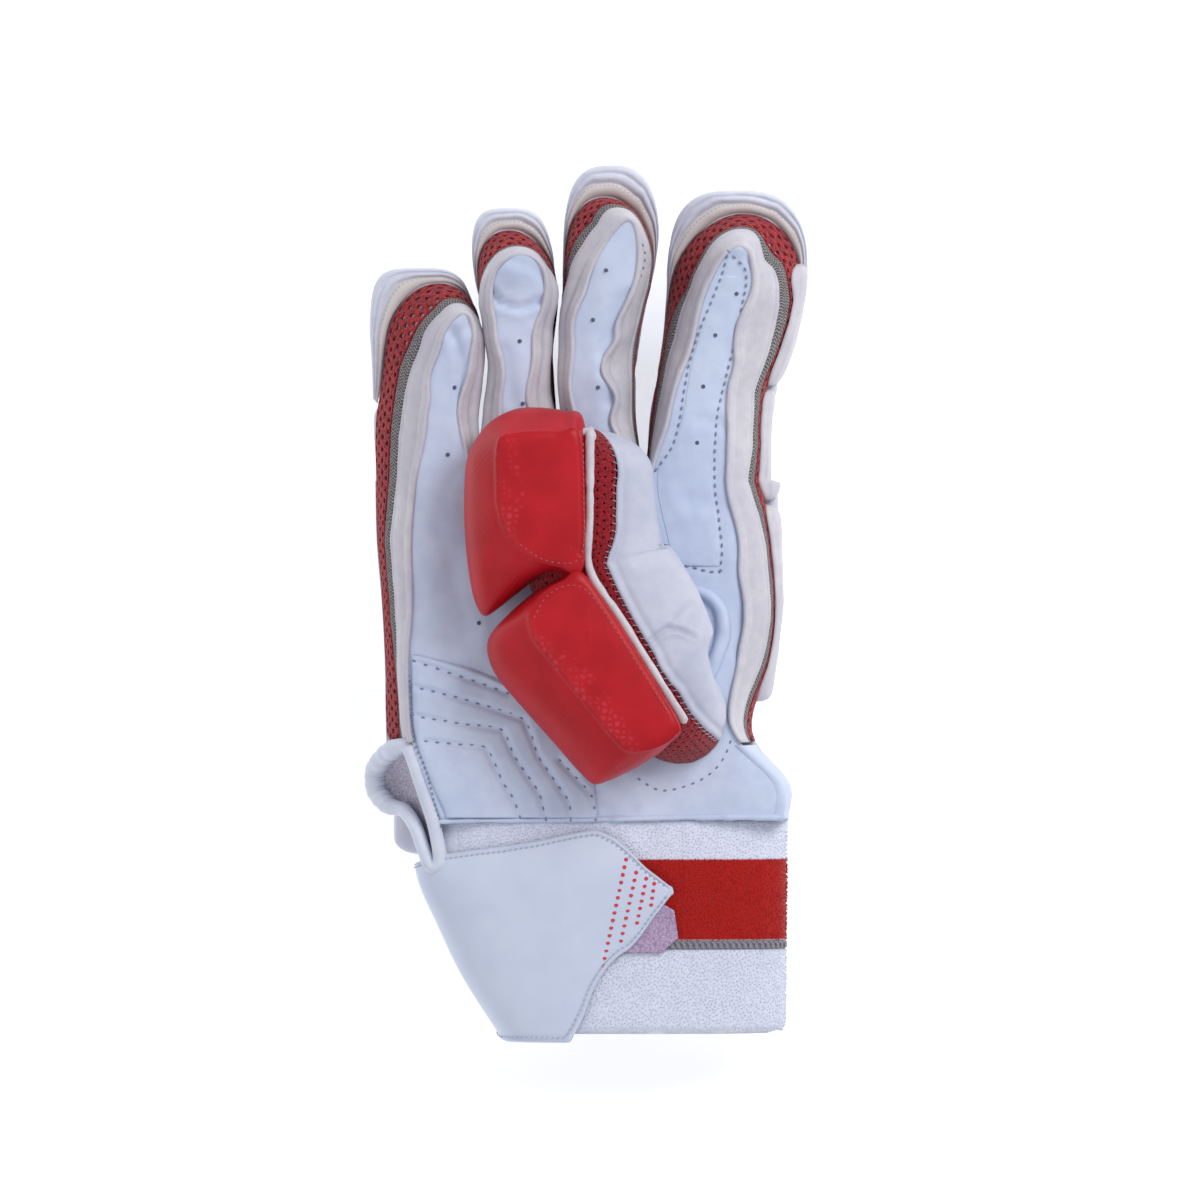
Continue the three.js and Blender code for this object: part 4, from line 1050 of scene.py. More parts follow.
# %% Wall surface
# How wide the strips look from above. mm down from the tip, below 0 on the left side; then the
# shares of the way from the face's edge to the foot at which the gusset and the tape end.
STRIP_WIDTHS = {
    "little": [(-134, 0.3, 0.38), (-106, 0.52, 0.74), (-79, 0.58, 0.77), (-58, 0.42, 0.65), (-44, 0.48, 0.68),
               (-30, 0.47, 0.68), (-23, 0.38, 0.63), (-17, 0.33, 0.56), (-10, 0.31, 0.49), (-3, 0.25, 0.42),
               (0, 0.3, 0.5), (8, 0.75, 0.9), (20, 0.94, 0.99), (60, 0.94, 0.99)],
    "ring": [(-60, 0.94, 0.99), (-30, 0.9, 0.97), (-14, 0.6, 0.68), (-4, 0.36, 0.42), (0, 0.3, 0.36),
             (6, 0.36, 0.5), (15, 0.8, 0.94), (60, 0.94, 0.99)],
    "middle": [(-60, 0.94, 0.99), (-22, 0.8, 0.95), (-12, 0.5, 0.75), (-5, 0.4, 0.56), (0, 0.5, 0.7),
               (6, 0.86, 0.95), (20, 0.94, 0.99), (60, 0.94, 0.99)],
    "index": [(-60, 0.7, 0.95), (-40, 0.7, 0.95), (-33, 0.62, 0.9), (-26, 0.54, 0.71), (-19, 0.4, 0.48),
              (-10, 0.42, 0.5), (-3, 0.5, 0.58), (0, 0.5, 0.6), (4, 0.33, 0.48), (8, 0.28, 0.52),
              (12, 0.44, 0.66), (19, 0.58, 0.76), (26, 0.7, 0.92), (33, 0.75, 0.95), (40, 0.72, 0.92),
              (53, 0.64, 0.84), (60, 0.78, 0.95), (70, 0.78, 0.95), (81, 0.56, 0.76), (90, 0.7, 0.9),
              (102, 0.86, 0.97), (129, 0.87, 0.97), (145, 0.75, 0.92), (157, 0.6, 0.83), (172, 0.5, 0.7)],
}
GUSSET_END, TAPE_END = 0.38, 0.55  # shares of the wall's height
# Neighbouring fingers' gussets swell until they touch. mm down from the tip, and mm outwards.
NEIGHBOURS = {
    "little": [(3, 0), (14, 2.6), (60, 2.9)],
    "ring": [(-60, 2.6), (-20, 2.4), (-8, 0), (5, 0), (15, 2.3), (60, 2.2)],
    "middle": [(-60, 2.0), (-26, 2.0), (-14, 0), (0, 0)],
    "index": [(0, 0), (1, 0)],
}


class Wall:
    """One finger's wall: a place on it for any distance along its outline and share of its height."""

    def __init__(self, name, down_to):
        self.name = name
        self.face, self.face_in = outline(name, "face", down_to)
        self.back, self.back_in = outline(name, "back", down_to)
        steps = np.linalg.norm(np.diff(self.back, axis=0) + np.diff(self.face, axis=0), axis=1) / 2
        self.run = np.concatenate([[0], np.cumsum(steps)])
        self.tip = self.run[self.face[:, 1].argmax()]
        low = self.face[:, 1].max() - self.face[:, 1]
        below = np.where(self.run < self.tip, -low, low)
        key, gusset, tape = np.array(STRIP_WIDTHS[name]).T
        self.gusset = np.interp(below, key, gusset)
        self.tape = np.interp(below, key, tape)
        self.swell = np.interp(below, *np.array(NEIGHBOURS[name]).T)

    def read(self, rows, at):
        if rows.ndim == 1:
            return np.interp(at, self.run, rows)
        return np.stack([np.interp(at, self.run, rows[:, k]) for k in range(3)], axis=-1)

    def outwards(self, at, share):
        """How far out from the face's edge to the foot the wall has come at a share of its height."""
        gusset, tape = self.read(self.gusset, at), self.read(self.tape, at)
        low = gusset * np.clip(share / GUSSET_END, 0, 1) ** 0.9
        middle = (tape - gusset) * np.clip((share - GUSSET_END) / (TAPE_END - GUSSET_END), 0, 1)
        return low + middle + (1 - tape) * np.clip((share - TAPE_END) / (1 - TAPE_END), 0, 1)

    def place(self, at, share, out):
        """share runs from 0 at the palm's seam to 1 at the foot; out is mm outwards of the wall."""
        at, share, out = np.broadcast_arrays(np.asarray(at, float), share, out)
        inward = -np.asarray(out)[..., None] + GAP / 2
        top = self.read(self.face, at) + self.read(self.face_in, at) * inward
        foot = self.read(self.back, at) + self.read(self.back_in, at) * inward
        outwards = self.outwards(at, share)[..., None]
        across = top[..., :2] * (1 - outwards) + foot[..., :2] * outwards
        height = top[..., 2] + WELT_HEIGHT + (foot[..., 2] - top[..., 2] - WELT_HEIGHT) * share
        return np.concatenate([across, height[..., None]], axis=-1)


walls = {name: Wall(name, WALL_END) for name in FINGERS}
for name, wall in walls.items():
    print(name, "wall, mm round:", round(float(wall.run[-1])))

# %% [markdown]
# The gusset's profile goes over the roll, down the outside and back up the inside.

# %% Gussets and tapes
GUSSET_PROFILE = [
    (0.07, -1.5), (0.0, -1.5), (-0.02, -1.2), (-0.032, -0.7), (-0.024, -0.15), (0.0, 0.2), (0.03, 0.3),
    (0.055, 0.02), (0.075, -0.5), (0.095, -0.6), (0.12, -0.3), (0.16, 0.08), (0.22, 0.24), (0.28, 0.2),
    (0.312, -0.02), (0.326, -0.25), (0.34, -0.02), (0.362, 0.05), (0.378, -0.12), (0.382, -0.5), (0.38, -1.3),
    (0.33, -1.6), (0.25, -1.5), (0.16, -1.6),
]
TAPE_PROFILE = [
    (0.385, -1.25), (0.385, -0.5), (0.4, -0.12), (0.43, 0.06), (0.465, 0.12), (0.5, 0.06), (0.535, -0.12),
    (0.55, -0.5), (0.55, -1.25), (0.47, -1.4),
]


STRIP_STEP = 1.3  # mm between two sections


def strip(name, wall, profile, finish, puff, seed):
    """A solid strip of a wall with this profile, its puff unevenly filled."""
    at = np.linspace(wall.run[0], wall.run[-1], int(wall.run[-1] / STRIP_STEP))
    share, out = np.array(profile).T
    here, shares = np.meshgrid(at, share, indexing="ij")
    swell = ripple(here, shares * HAND_DEPTH, 8, 7, seed) * puff
    swell = swell + ripple(here, shares * 40, 3.1, 9, seed + 1) * puff * 0.45
    full = np.sin(np.pi * np.clip(shares / GUSSET_END, 0, 1)) * np.interp(here, wall.run, wall.swell)
    outs = out[None, :] + (swell + full) * (out[None, :] > -0.6)
    return shell(name, wall.place(here, shares, outs), finish, here, shares * HAND_DEPTH)


for i, (name, wall) in enumerate(walls.items()):
    gusset = strip("side_gusset_" + name, wall, GUSSET_PROFILE, gusset_finish, 0.2, 31 + i)
    dress(gusset, "leather", "gusset_" + name)
    tape = strip("side_tape_" + name, wall, TAPE_PROFILE, tape_finish, 0.1, 41 + i)
    dress(tape, "tape", "tape_" + name)
print("gusset faces", len(gusset.data.polygons), "tape faces", len(tape.data.polygons))

# %% [markdown]
# ## The net
#
# Warp-knitted net has rows of holes, each row shifted by half a hole, with thick yarn between. That
# is a rule, so Geometry Nodes make it: the script lays a grid of hexagons on the wall, and the tree
# insets every face, deletes what is inside and rounds what is left. The share of the hole is an
# input, so the thumb's denser net comes from the same tree. Solidify gives the yarn its thickness.
# A pale lining lies behind the net, as on the real glove, where it shows through the holes.

# %% Net tree
net_growth = Growth("knit net", hole=0.4, finish=None)
cells = net_growth.given["Geometry"]
inset = net_growth.node("GeometryNodeExtrudeMesh", {"mode": "FACES"},
                        {"Mesh": cells, "Offset Scale": 0.0, "Individual": True})
top = Value(net_growth, inset.socket.node.outputs["Top"])
scaled = net_growth.node("GeometryNodeScaleElements", {"domain": "FACE"},
                         {"Geometry": inset, "Selection": top, "Scale": net_growth.given["hole"]})
frame_only = net_growth.node("GeometryNodeDeleteGeometry", {"domain": "FACE"},
                             {"Geometry": scaled, "Selection": top})
merged = net_growth.node("GeometryNodeMergeByDistance", {}, {"Geometry": frame_only, "Distance": 0.00001})
rounded = net_growth.node("GeometryNodeSubdivisionSurface", {}, {"Mesh": merged, "Level": 1})
net_growth.end(rounded)


def hexagons(count_along, rows):
    """A sheet of hexagons, as points (along, up) in cells, and faces of six."""
    points, faces, index = [], [], {}

    def corner(k, r):
        key = (k, r)
        if key not in index:
            index[key] = len(points)
            lift = 1 / 6 if (k + r) % 2 == 0 else -1 / 6
            points.append((k / 2, r + lift))
        return index[key]

    for r in range(rows):
        for c in range(count_along):
            k = 2 * c + r % 2
            low = [corner(k, r), corner(k + 1, r), corner(k + 2, r)]
            high = [corner(k + 2, r + 1), corner(k + 1, r + 1), corner(k, r + 1)]
            faces.append(low + high)
    return np.array(points), faces


NET_PITCH = 3.9
NET_ROWS = 4


def net_on(name, place, length, height, pitch, hole, finish, rows=None):
    """A net over a strip: place gives the point for mm along it and a share of its height."""
    rows = rows or max(int(round(height / (pitch * 0.87))), 1)
    count = int(length / pitch)
    points, faces = hexagons(count, rows)
    along = np.clip(points[:, 0] / (count + 0.5), 0, 1) * length
    up = np.clip(points[:, 1] / rows, 0, 1)
    up = np.where(points[:, 1] < 0.4, 0, np.where(points[:, 1] > rows - 0.4, 1, up))
    obj = make(name, place(along, up), faces, finish, closed=False)
    net_growth.use(obj, finish, hole=hole)
    return thicken(obj, 0.95, offset=0)


for i, (name, wall) in enumerate(walls.items()):
    def net_place(along, up, wall=wall, out=-0.5, seed=51 + i):
        bulge = 0.5 * np.sin(np.pi * up) + 0.18 * ripple(along, up * 12, 7, 6, seed)
        return wall.place(along, 0.555 + up * 0.44, out + bulge)

    net = net_on("side_net_" + name, net_place, wall.run[-1], 12.5, NET_PITCH, 0.5, net_finish, NET_ROWS)
    dress(net, "net", "mesh_" + name)
    at = np.linspace(0, wall.run[-1], int(wall.run[-1] / 2.5))
    here, shares = np.meshgrid(at, np.linspace(0.52, 0.99, 6), indexing="ij")
    lining = sheet("net_lining_" + name, wall.place(here, shares, -1.15), lining_finish)
    dress(thicken(lining, 0.3, offset=0), "lining")
print("net faces", len(net.data.polygons))

# %% [markdown]
# ## The guards on the back
#
# Sausages of foam, wrapped in leather, carry the ball's blows. Each is sewn flat to the back sheet
# and domes away from it, and a narrow welt runs round its sewn edge. From the palm side only their
# rims and the domes of the tips show; from the back they are the whole glove. They are built as
# runs of sections first. Cloth simulation then inflates the wrapping a little, held at its seams,
# so that every guard gets its own fullness.

# %% Sections of the guards
GUARD_SECTION = np.array([
    (-0.94, 0), (0.94, 0), (1, 0.2), (1, 0.5), (0.88, 0.82), (0.62, 1),
    (-0.62, 1), (-0.88, 0.82), (-1, 0.5), (-1, 0.2),
])


def rounded_ring(corners, times=2):
    """Cuts the corners of a closed ring, which rounds it and stays inside it."""
    for _ in range(times):
        after = np.roll(corners, -1, axis=0)
        pairs = [corners * 0.75 + after * 0.25, corners * 0.25 + after * 0.75]
        corners = np.stack(pairs, axis=1).reshape(-1, 2)
    return corners


def guard_sections(left, right, ends, round_over=6.0):
    """Rings between a left and a right edge. ends are mm from each end, for the rounding there."""
    ring = rounded_ring(GUARD_SECTION)
    near = np.clip(ends / round_over, 0, 1)
    full = np.sqrt(1 - (1 - near) ** 2)
    draw = 0.8 + 0.2 * full
    thin = 0.3 + 0.7 * full
    middle, half = (left + right) / 2, (right - left) / 2
    top = left[:, 2] - GAP - LEATHER - GAP
    across = middle[:, None, :2] + half[:, None, :2] * (ring[:, 0] * draw[:, None])[..., None]
    drop = 0.25 * (1 - thin[:, None]) * GUARD_THICKNESS
    depth = top[:, None] - drop - ring[:, 1] * thin[:, None] * (GUARD_THICKNESS - drop)
    return np.concatenate([across, depth[..., None]], axis=-1)


def even_run(low, high, step=1.7):
    """Stations from low to high mm, closer together at the two ends."""
    count = max(int((high - low) / step), 6)
    t = np.linspace(0, 1, count + 1)
    return low + (high - low) * (t - 0.07 * np.sin(2 * np.pi * t))


guards = {}
KNUCKLE_END = 0.37
for name, finger in FINGERS.items():
    length = finger["length"]
    crease = GUARD_SPLIT / 2
    y = even_run(crease, KNUCKLE_END * length - crease)
    left, right = (finger_edge(name, "guard", side, y / length) for side in (-1, 1))
    ends = np.minimum(y - y[0], y[-1] - y)
    guards[f"guard_{name}_knuckle"] = guard_sections(left, right, ends)
    low = KNUCKLE_END * length + crease
    angles = np.linspace(0, 86, 16)
    along = np.concatenate([
        even_run(low, TIP_START * length)[:-1] / length,
        TIP_START + (1 - TIP_START) * np.sin(np.radians(angles)),
    ])
    left, right = (finger_edge(name, "guard", side, along) for side in (-1, 1))
    ends = along * length - low
    tip = np.clip((along - TIP_START) / (1 - TIP_START), 0, 1)
    ends = np.minimum(ends, 6 * (1 - np.sqrt(np.maximum(1 - (1 - tip ** 2.2) ** 0.9, 0))))
    guards[f"guard_{name}_tip"] = guard_sections(left, right, ends)

HAND_END, WRIST_END = 0.618, 1.12
HAND_EDGES = np.array([
    [0, -2.14, -1.09, -0.26, 0.6, 1.93],
    [0.36, -2.08, -1.05, -0.24, 0.58, 1.96],
    [0.618, -2.03, -1.02, -0.23, 0.55, 1.86],
])
for i, name in enumerate(FINGERS):
    y = even_run(GUARD_SPLIT / 2, HAND_END * PALM_LENGTH - GUARD_SPLIT / 2)
    edges = [np.interp(y / PALM_LENGTH, HAND_EDGES[:, 0], HAND_EDGES[:, k]) * FINGER_WIDTH
             for k in (i + 1, i + 2)]
    left = np.column_stack([edges[0] + GUARD_SPLIT / 2, -y, np.full_like(y, WALL_FOOT)])
    right = np.column_stack([edges[1] - GUARD_SPLIT / 2, -y, np.full_like(y, WALL_FOOT)])
    guards["guard_hand_" + name] = guard_sections(left, right, np.minimum(y - y[0], y[-1] - y))
y = even_run(HAND_END * PALM_LENGTH + GUARD_SPLIT / 2, WRIST_END * PALM_LENGTH - GUARD_SPLIT / 2)
left = np.column_stack([np.full_like(y, WRIST_GUARD_LEFT * FINGER_WIDTH), -y, np.full_like(y, WALL_FOOT)])
right = np.column_stack([np.full_like(y, WRIST_GUARD_RIGHT * FINGER_WIDTH), -y, np.full_like(y, WALL_FOOT)])
guards["guard_wrist"] = guard_sections(left, right, np.minimum(y - y[0], y[-1] - y))
print(len(guards), "guards,", sum(g.shape[0] * g.shape[1] for g in guards.values()), "points")

# %% [markdown]
# All the guards go through one simulation together, as one mesh, because that costs little more
# than one of them. Their sewn faces and ends are pinned, gravity is off, and no point may move
# further than the cap, which also keeps neighbours apart. Their outer faces are flat where the
# glove lies on them, so nothing goes below the floor.

# %% Inflate the wrappings
PUFF_CAP = 1.1  # mm


def inflate(points, faces, pinned, pressure=4.0, frames=20, cap=PUFF_CAP):
    """The points after the shell has swelled like a filled cover. Works in metres inside."""
    mesh = bpy.data.meshes.new("cover")
    mesh.from_pydata((points / 1000).tolist(), [], [list(map(int, face)) for face in faces])
    cover = show("cover", mesh)
    group = cover.vertex_groups.new(name="seams")
    for weight in np.unique(pinned.round(2)):
        group.add(np.flatnonzero(pinned.round(2) == weight).tolist(), float(weight), "REPLACE")
    cloth = cover.modifiers.new("Cloth", "CLOTH")
    cloth.settings.quality = 6
    cloth.settings.mass = 0.15
    cloth.settings.tension_stiffness = 12
    cloth.settings.compression_stiffness = 8
    cloth.settings.bending_stiffness = 0.4
    cloth.settings.use_pressure = True
    cloth.settings.uniform_pressure_force = pressure
    cloth.settings.vertex_group_mass = "seams"
    cloth.settings.effector_weights.gravity = 0
    cloth.collision_settings.use_self_collision = False
    cloth.collision_settings.use_collision = False
    scene = bpy.context.scene
    for step in range(1, frames + 1):
        scene.frame_set(step)
    graph = bpy.context.evaluated_depsgraph_get()
    swelled = cover.evaluated_get(graph).to_mesh()
    moved = np.empty(len(points) * 3)
    swelled.vertices.foreach_get("co", moved)
    moved = moved.reshape(-1, 3) * 1000
    scene.frame_set(1)
    bpy.data.objects.remove(cover)
    step = moved - points
    size = np.linalg.norm(step, axis=1, keepdims=True)
    return points + step * np.minimum(1, cap / np.maximum(size, 1e-9))


shells, all_points, all_faces, all_pins = {}, [], [], []
start = 0
for name, sections in guards.items():
    points, faces = skin(sections)
    faces = outward(points, faces)
    rings, count = sections.shape[:2]
    share = np.tile(rounded_ring(GUARD_SECTION)[:, 1], rings)
    ring_of = np.repeat(np.arange(rings), count)
    pins = (share < 0.12) | (ring_of == 0) | (ring_of >= rings - 1)
    pins = np.concatenate([pins, [True, True]]).astype(float)
    shells[name] = (start, start + len(points), faces, rings, count)
    all_points.append(points)
    all_faces.extend([[i + start for i in face] for face in faces])
    all_pins.append(pins)
    start += len(points)
all_points = np.concatenate(all_points)
swelled = all_points
swelled = inflate(all_points, all_faces, np.concatenate(all_pins))
print("guards swelled by up to", np.linalg.norm(swelled - all_points, axis=1).max().round(2), "mm")

# %% [markdown]
# What the simulation can't know is drawn on afterwards: the welt round the sewn edge and a slow
# unevenness of hand-filled foam.

# %% Dress the guards
for i, (name, (first, last, faces, rings, count)) in enumerate(shells.items()):
    points = swelled[first:last].copy()
    body = points[:-2].reshape(rings, count, 3)
    depth = rounded_ring(GUARD_SECTION)[:, 1]
    outwards = body - body.mean(axis=1, keepdims=True)
    outwards /= np.maximum(np.linalg.norm(outwards, axis=2, keepdims=True), 1e-6)
    welt = np.exp(-((depth - 0.16) / 0.05) ** 2) * 0.7 - np.exp(-((depth - 0.27) / 0.05) ** 2) * 0.6
    uneven = 0.4 * ripple(body[..., 0] + 3 * i, body[..., 1] + body[..., 2], 8, 9, 61 + i)
    fades = np.sin(np.pi * np.clip(depth * 1.2, 0, 1))
    body += outwards * (welt + uneven * fades)[..., None]
    body[..., 2] = np.maximum(body[..., 2], 0.0)
    points[:-2] = body.reshape(-1, 3)
    cover = make("cover_" + name, points, faces, guard_finish)
    modifier = cover.modifiers.new("Smooth", "SUBSURF")
    modifier.levels = modifier.render_levels = 1
    settle(cover)
    dress(cover, "back_guard", name)
print("guard faces", len(cover.data.polygons))

# %% [markdown]
# ## Rims of the guards
#
# Beside the net the guard's wrapping is bound with a cream band, and beyond it the cover is turned
# over and shows soft folds that run round the finger. Both are one strip between the foot of the
# wall and the guard's edge, with a profile of low rolls. On the index finger's right side the cover
# stands out further: three white lobes hide most of the net there.

# %% Rims round the tips
# share of the way from the wall's foot to the guard's edge, and mm above the guard's sewn face
RIM_PROFILE = [
    (0.0, -0.6), (0.0, 0.3), (0.06, 0.9), (0.16, 1.25), (0.28, 1.2), (0.38, 0.8), (0.42, 0.35), (0.46, 0.8),
    (0.54, 1.3), (0.64, 1.2), (0.7, 0.7), (0.73, 0.45), (0.77, 0.75), (0.84, 0.85), (0.92, 0.3), (0.98, -0.9),
    (1.0, -2.6), (0.9, -3.0), (0.5, -1.6),
]


def rim(name, finger_name, stations, side_ends=4.0):
    share, above = np.array(RIM_PROFILE).T
    sections = []
    for side in (-1, 1):
        along = stations if side < 0 else stations[:-1][::-1]
        foot = finger_edge(finger_name, "back", side, along)
        edge = finger_edge(finger_name, "guard", side, along)
        sections.append(np.stack([foot, edge], axis=1))
    pairs = np.concatenate(sections)
    run = run_along(pairs.mean(axis=1))
    wave = 0.05 * ripple(run, run * 0, 7, 9, 141) + 0.03 * ripple(run, run * 0, 2.7, 9, 142)
    shares = np.clip(share[None, :] + wave[:, None] * np.sin(np.pi * share)[None, :], 0, 1)
    spots = pairs[:, :1] * (1 - shares[..., None]) + pairs[:, 1:] * shares[..., None]
    width = np.linalg.norm(pairs[:, 1, :2] - pairs[:, 0, :2], axis=1)
    puff = np.clip(width / 6, 0.25, 1.3)[:, None]
    puff = puff * (1 + 0.25 * ripple(run[:, None], share[None, :] * 9, 6, 2, 143))
    ends = ease(np.minimum(run, run[-1] - run), 0, side_ends)[:, None]
    lift = np.where(above > 0, above * puff * (0.2 + 0.8 * ends), above)
    spots[..., 2] += -GAP - LEATHER + lift + 0.9
    return shell(name, spots, rim_finish, np.repeat(run, len(share)), np.tile(share * 10, len(run)))


for name, finger in FINGERS.items():
    low = KNUCKLE_END + GUARD_SPLIT / finger["length"]
    stations = np.concatenate([
        np.linspace(low, TIP_START, 30)[:-1],
        TIP_START + (1 - TIP_START) * np.sin(np.radians(np.linspace(0, 90, 30))),
    ])
    dress(rim("rim_" + name, name, stations), "back_guard")

# %% Lobes over the index finger's net
INDEX_LOBES = [(262, 384), (388, 500), (504, 702)]  # from row to row of the photograph
LOBE_SHARE = [0.6, 0.66, 0.62]  # how high on the wall each lobe starts


def guard_right(y):
    """The x of the right edge of the index finger's guards at y."""
    along = np.clip(y / FINGERS["index"]["length"], 0, 1)
    on_finger = finger_edge("index", "guard", 1, along)[..., 0]
    on_hand = np.interp(-y / PALM_LENGTH, HAND_EDGES[:, 0], HAND_EDGES[:, 5]) * FINGER_WIDTH
    return np.where(y > 0, on_finger, on_hand)


index_wall = walls["index"]
right_half = index_wall.run > index_wall.tip
for i, (first, last) in enumerate(INDEX_LOBES):
    y_high, y_low = photo((700, first), (700, last))[:, 1]
    y = np.linspace(y_high, y_low, int((y_high - y_low) / 1.0))
    at = np.interp(-y, -index_wall.back[right_half, 1], index_wall.run[right_half])
    ends = np.clip(np.minimum(y_high - y, y - y_low) / 7, 0, 1)
    full = np.sqrt(1 - (1 - ends) ** 2)
    inner_share = 1 - (1 - LOBE_SHARE[i]) * (0.35 + 0.65 * full)
    inner = index_wall.place(at, inner_share, 0.5)
    foot = index_wall.place(at, 1.0, 0.5)
    reach = np.maximum(guard_right(y) - foot[:, 0], 1.5) * (0.3 + 0.7 * full) + 0.4
    outer = foot + np.column_stack([reach, 0 * reach, -2.0 + 0 * reach])
    turn = np.linspace(0, 1, 13)
    arch = np.sin(np.pi * turn) ** 0.75
    bulge = (2.2 + 0.5 * ripple(y[:, None], turn[None, :] * 10, 6, 4, 151 + i)) * (0.3 + 0.7 * full[:, None])
    upper = spread(inner, outer, turn)
    lower = upper.copy()
    upper[..., 2] += arch[None, :] * bulge
    upper[..., 0] += arch[None, :] * bulge * 0.5
    pleat = np.exp(-((turn[None, :] - 0.3) / 0.07) ** 2) + 0.7 * np.exp(-((turn[None, :] - 0.62) / 0.08) ** 2)
    upper[..., 2] -= 0.5 * pleat * full[:, None]
    lower[..., 2] -= 1.2
    sections = np.concatenate([upper, lower[:, ::-1]], axis=1)
    dress(shell(f"lobe_{i}", sections, gusset_finish), "back_guard")
print("rims and lobes done")

# %% [markdown]
# ## The thumb's stall
#
# The thumb has a stall of its own that rises out of the palm at its root, turns over and lies
# across it. Its outer half is net and the inner half is soft leather. The rings turn from flat on
# the palm to upright, and a short table says how. Between its rows the surface is smooth, and one
# function gives every point of it, so leather, net and stitches all sit on the same form.

# %% Surface of the stall
THUMB_ROWS = table("row turn along half swell seam", [
    [0, 0, -1, 0.4, 0, 68],
    [1, 25, -1, 0.43, 0.02, 64],
    [2, 50, -1, 0.46, 0.05, 64],
    [3, 72, -1, 0.49, 0.09, 68],
    [4, 90, -0.98, 0.5, 0.14, 76],
    [5, 90, -0.5, 0.5, 0.18, 82],
    [6, 90, -0.02, 0.5, 0.17, 78],
    [7, 90, 0.5, 0.5, 0.08, 62],
    [8, 90, 1, 0.5, 0.04, 58],
])
THUMB_CLEAR = 1.0
MESH_END = 192.0
TIP_ROW = 8.0


def thumb_frame(t):
    """Middle, two directions and two half sizes of the ring at t, from 0 at the root to 9 at the tip."""
    t = np.asarray(t, float)
    at = np.minimum(t, TIP_ROW)
    row = {key: sample(THUMB_ROWS, "row", key, at) for key in ("turn", "along", "half", "swell")}
    turn = np.radians(np.clip(row["turn"], 0, 90))
    tip = np.radians(np.clip(t - TIP_ROW, 0, 1) * 89)
    upright = turn / (np.pi / 2)
    high = THUMB_ROOT_REACH / 2 * (1 - upright) + THUMB_DEPTH / 2 * upright
    out = ROOTWARD * np.cos(turn)[..., None] + np.array([0, 0, 1.0]) * np.sin(turn)[..., None]
    heading = THUMB_LEAN * np.clip(-2.2 * row["along"] + 0.5, 0, 1)
    across = np.stack([np.cos(heading), np.sin(heading), np.zeros_like(heading)], axis=-1)
    middle = JOINT * [1, 1, 0] + across * (row["swell"] / 2 * THUMB_WIDTH)[..., None] + [0, 0, FOLD[2]]
    middle = middle + out * (high + THUMB_CLEAR * upright)[..., None]
    middle = middle + ROOTWARD * (np.maximum(-row["along"], 0) * THUMB_ROOT_LENGTH)[..., None]
    ahead = np.maximum(row["along"], 0) * (THUMB_TIP_LENGTH - THUMB_DEPTH / 2) + THUMB_DEPTH / 2 * np.sin(tip)
    middle = middle + np.array([0, 1.0, 0]) * ahead[..., None]
    wide = (row["half"] + row["swell"] / 2) * THUMB_WIDTH
    return middle, across, out, wide, high, np.cos(tip)


def thumb_place(t, angle, grow=0.0):
    """A point of the stall: angle runs in degrees from the index finger's side over the top."""
    t, angle, grow = np.broadcast_arrays(np.asarray(t, float), angle, grow)
    middle, across, out, wide, high, shrink = thumb_frame(t)
    turn = np.radians(angle)
    turn = np.arctan2(wide * np.sin(turn), high * np.cos(turn))
    side = across * ((wide + grow) * shrink * np.cos(turn))[..., None]
    return middle + side + out * ((high + grow) * shrink * np.sin(turn))[..., None]


# Beside the lower guard the net is drawn to a thin strip: rows, and degrees by which the seam climbs.
SEAM_LIFT = [0, 1, 2, 3, 4, 5, 6, 7, 8], [0, 9, 17, 18, 13, 7, 2, 0, 0]


def thumb_seam(t):
    """The angle at which the leather ends and the net begins."""
    seam = sample(THUMB_ROWS, "row", "seam", np.minimum(t, TIP_ROW))
    seam = seam + np.interp(t, *SEAM_LIFT)
    return seam + 1.6 * ripple(np.asarray(t) * 20, 0 * np.asarray(t), 9, 9, 71)


thumb_t = np.concatenate([np.linspace(0, 4, 60)[:-1], np.linspace(4, 8, 90)[:-1], np.linspace(8, 9, 22)])
ridge = thumb_place(thumb_t, 110)
thumb_run = run_along(ridge)
print("thumb along its ridge, mm", thumb_run[-1].round(1))

# %% [markdown]
# The leather is drawn over a curved form, so it takes long soft folds at the joint and a raised
# hem where it is overlocked to the net. Both are moves along the surface's own direction.

# %% Leather of the stall
STALL_SINK = 3.6
THUMB_FOLDS = [
    ([(644, 646), (656, 635), (668, 627), (684, 631), (694, 636)], 1.1, 0.8),
    ([(670, 629), (680, 616), (690, 606)], 0.5, 1.2),
    ([(640, 560), (664, 556)], 0.4, 2.2),
    ([(622, 600), (645, 640), (668, 690)], 0.3, 2.4),
]
share = np.linspace(0, 1, 104)
here, shares = np.meshgrid(thumb_t, share, indexing="ij")
seam = thumb_seam(here)
angle = MESH_END + 1.5 + (360 + seam - 1.0 - MESH_END - 1.5) * shares
spot = thumb_place(here, angle)
lift = 0.4 * ripple(spot[..., 0] + 9, spot[..., 1], 12, 17, 73)
lift = lift + 0.16 * ripple(spot[..., 0], spot[..., 1], 4.5, 7, 74)
lift = lift + 0.7 * np.exp(-((shares - 0.985) / 0.012) ** 2) - 0.5 * np.exp(-((shares - 0.955) / 0.012) ** 2)
facing_up = ease(spot[..., 2], FOLD[2] + 12, FOLD[2] + 20)
for pixels, depth, width in THUMB_FOLDS:
    away = polyline_distance(spot[..., 0], spot[..., 1], photo(*pixels)) / width
    lift = lift + facing_up * depth * (0.45 * np.exp(-(away - 1.8) ** 2) - np.exp(-away ** 2))
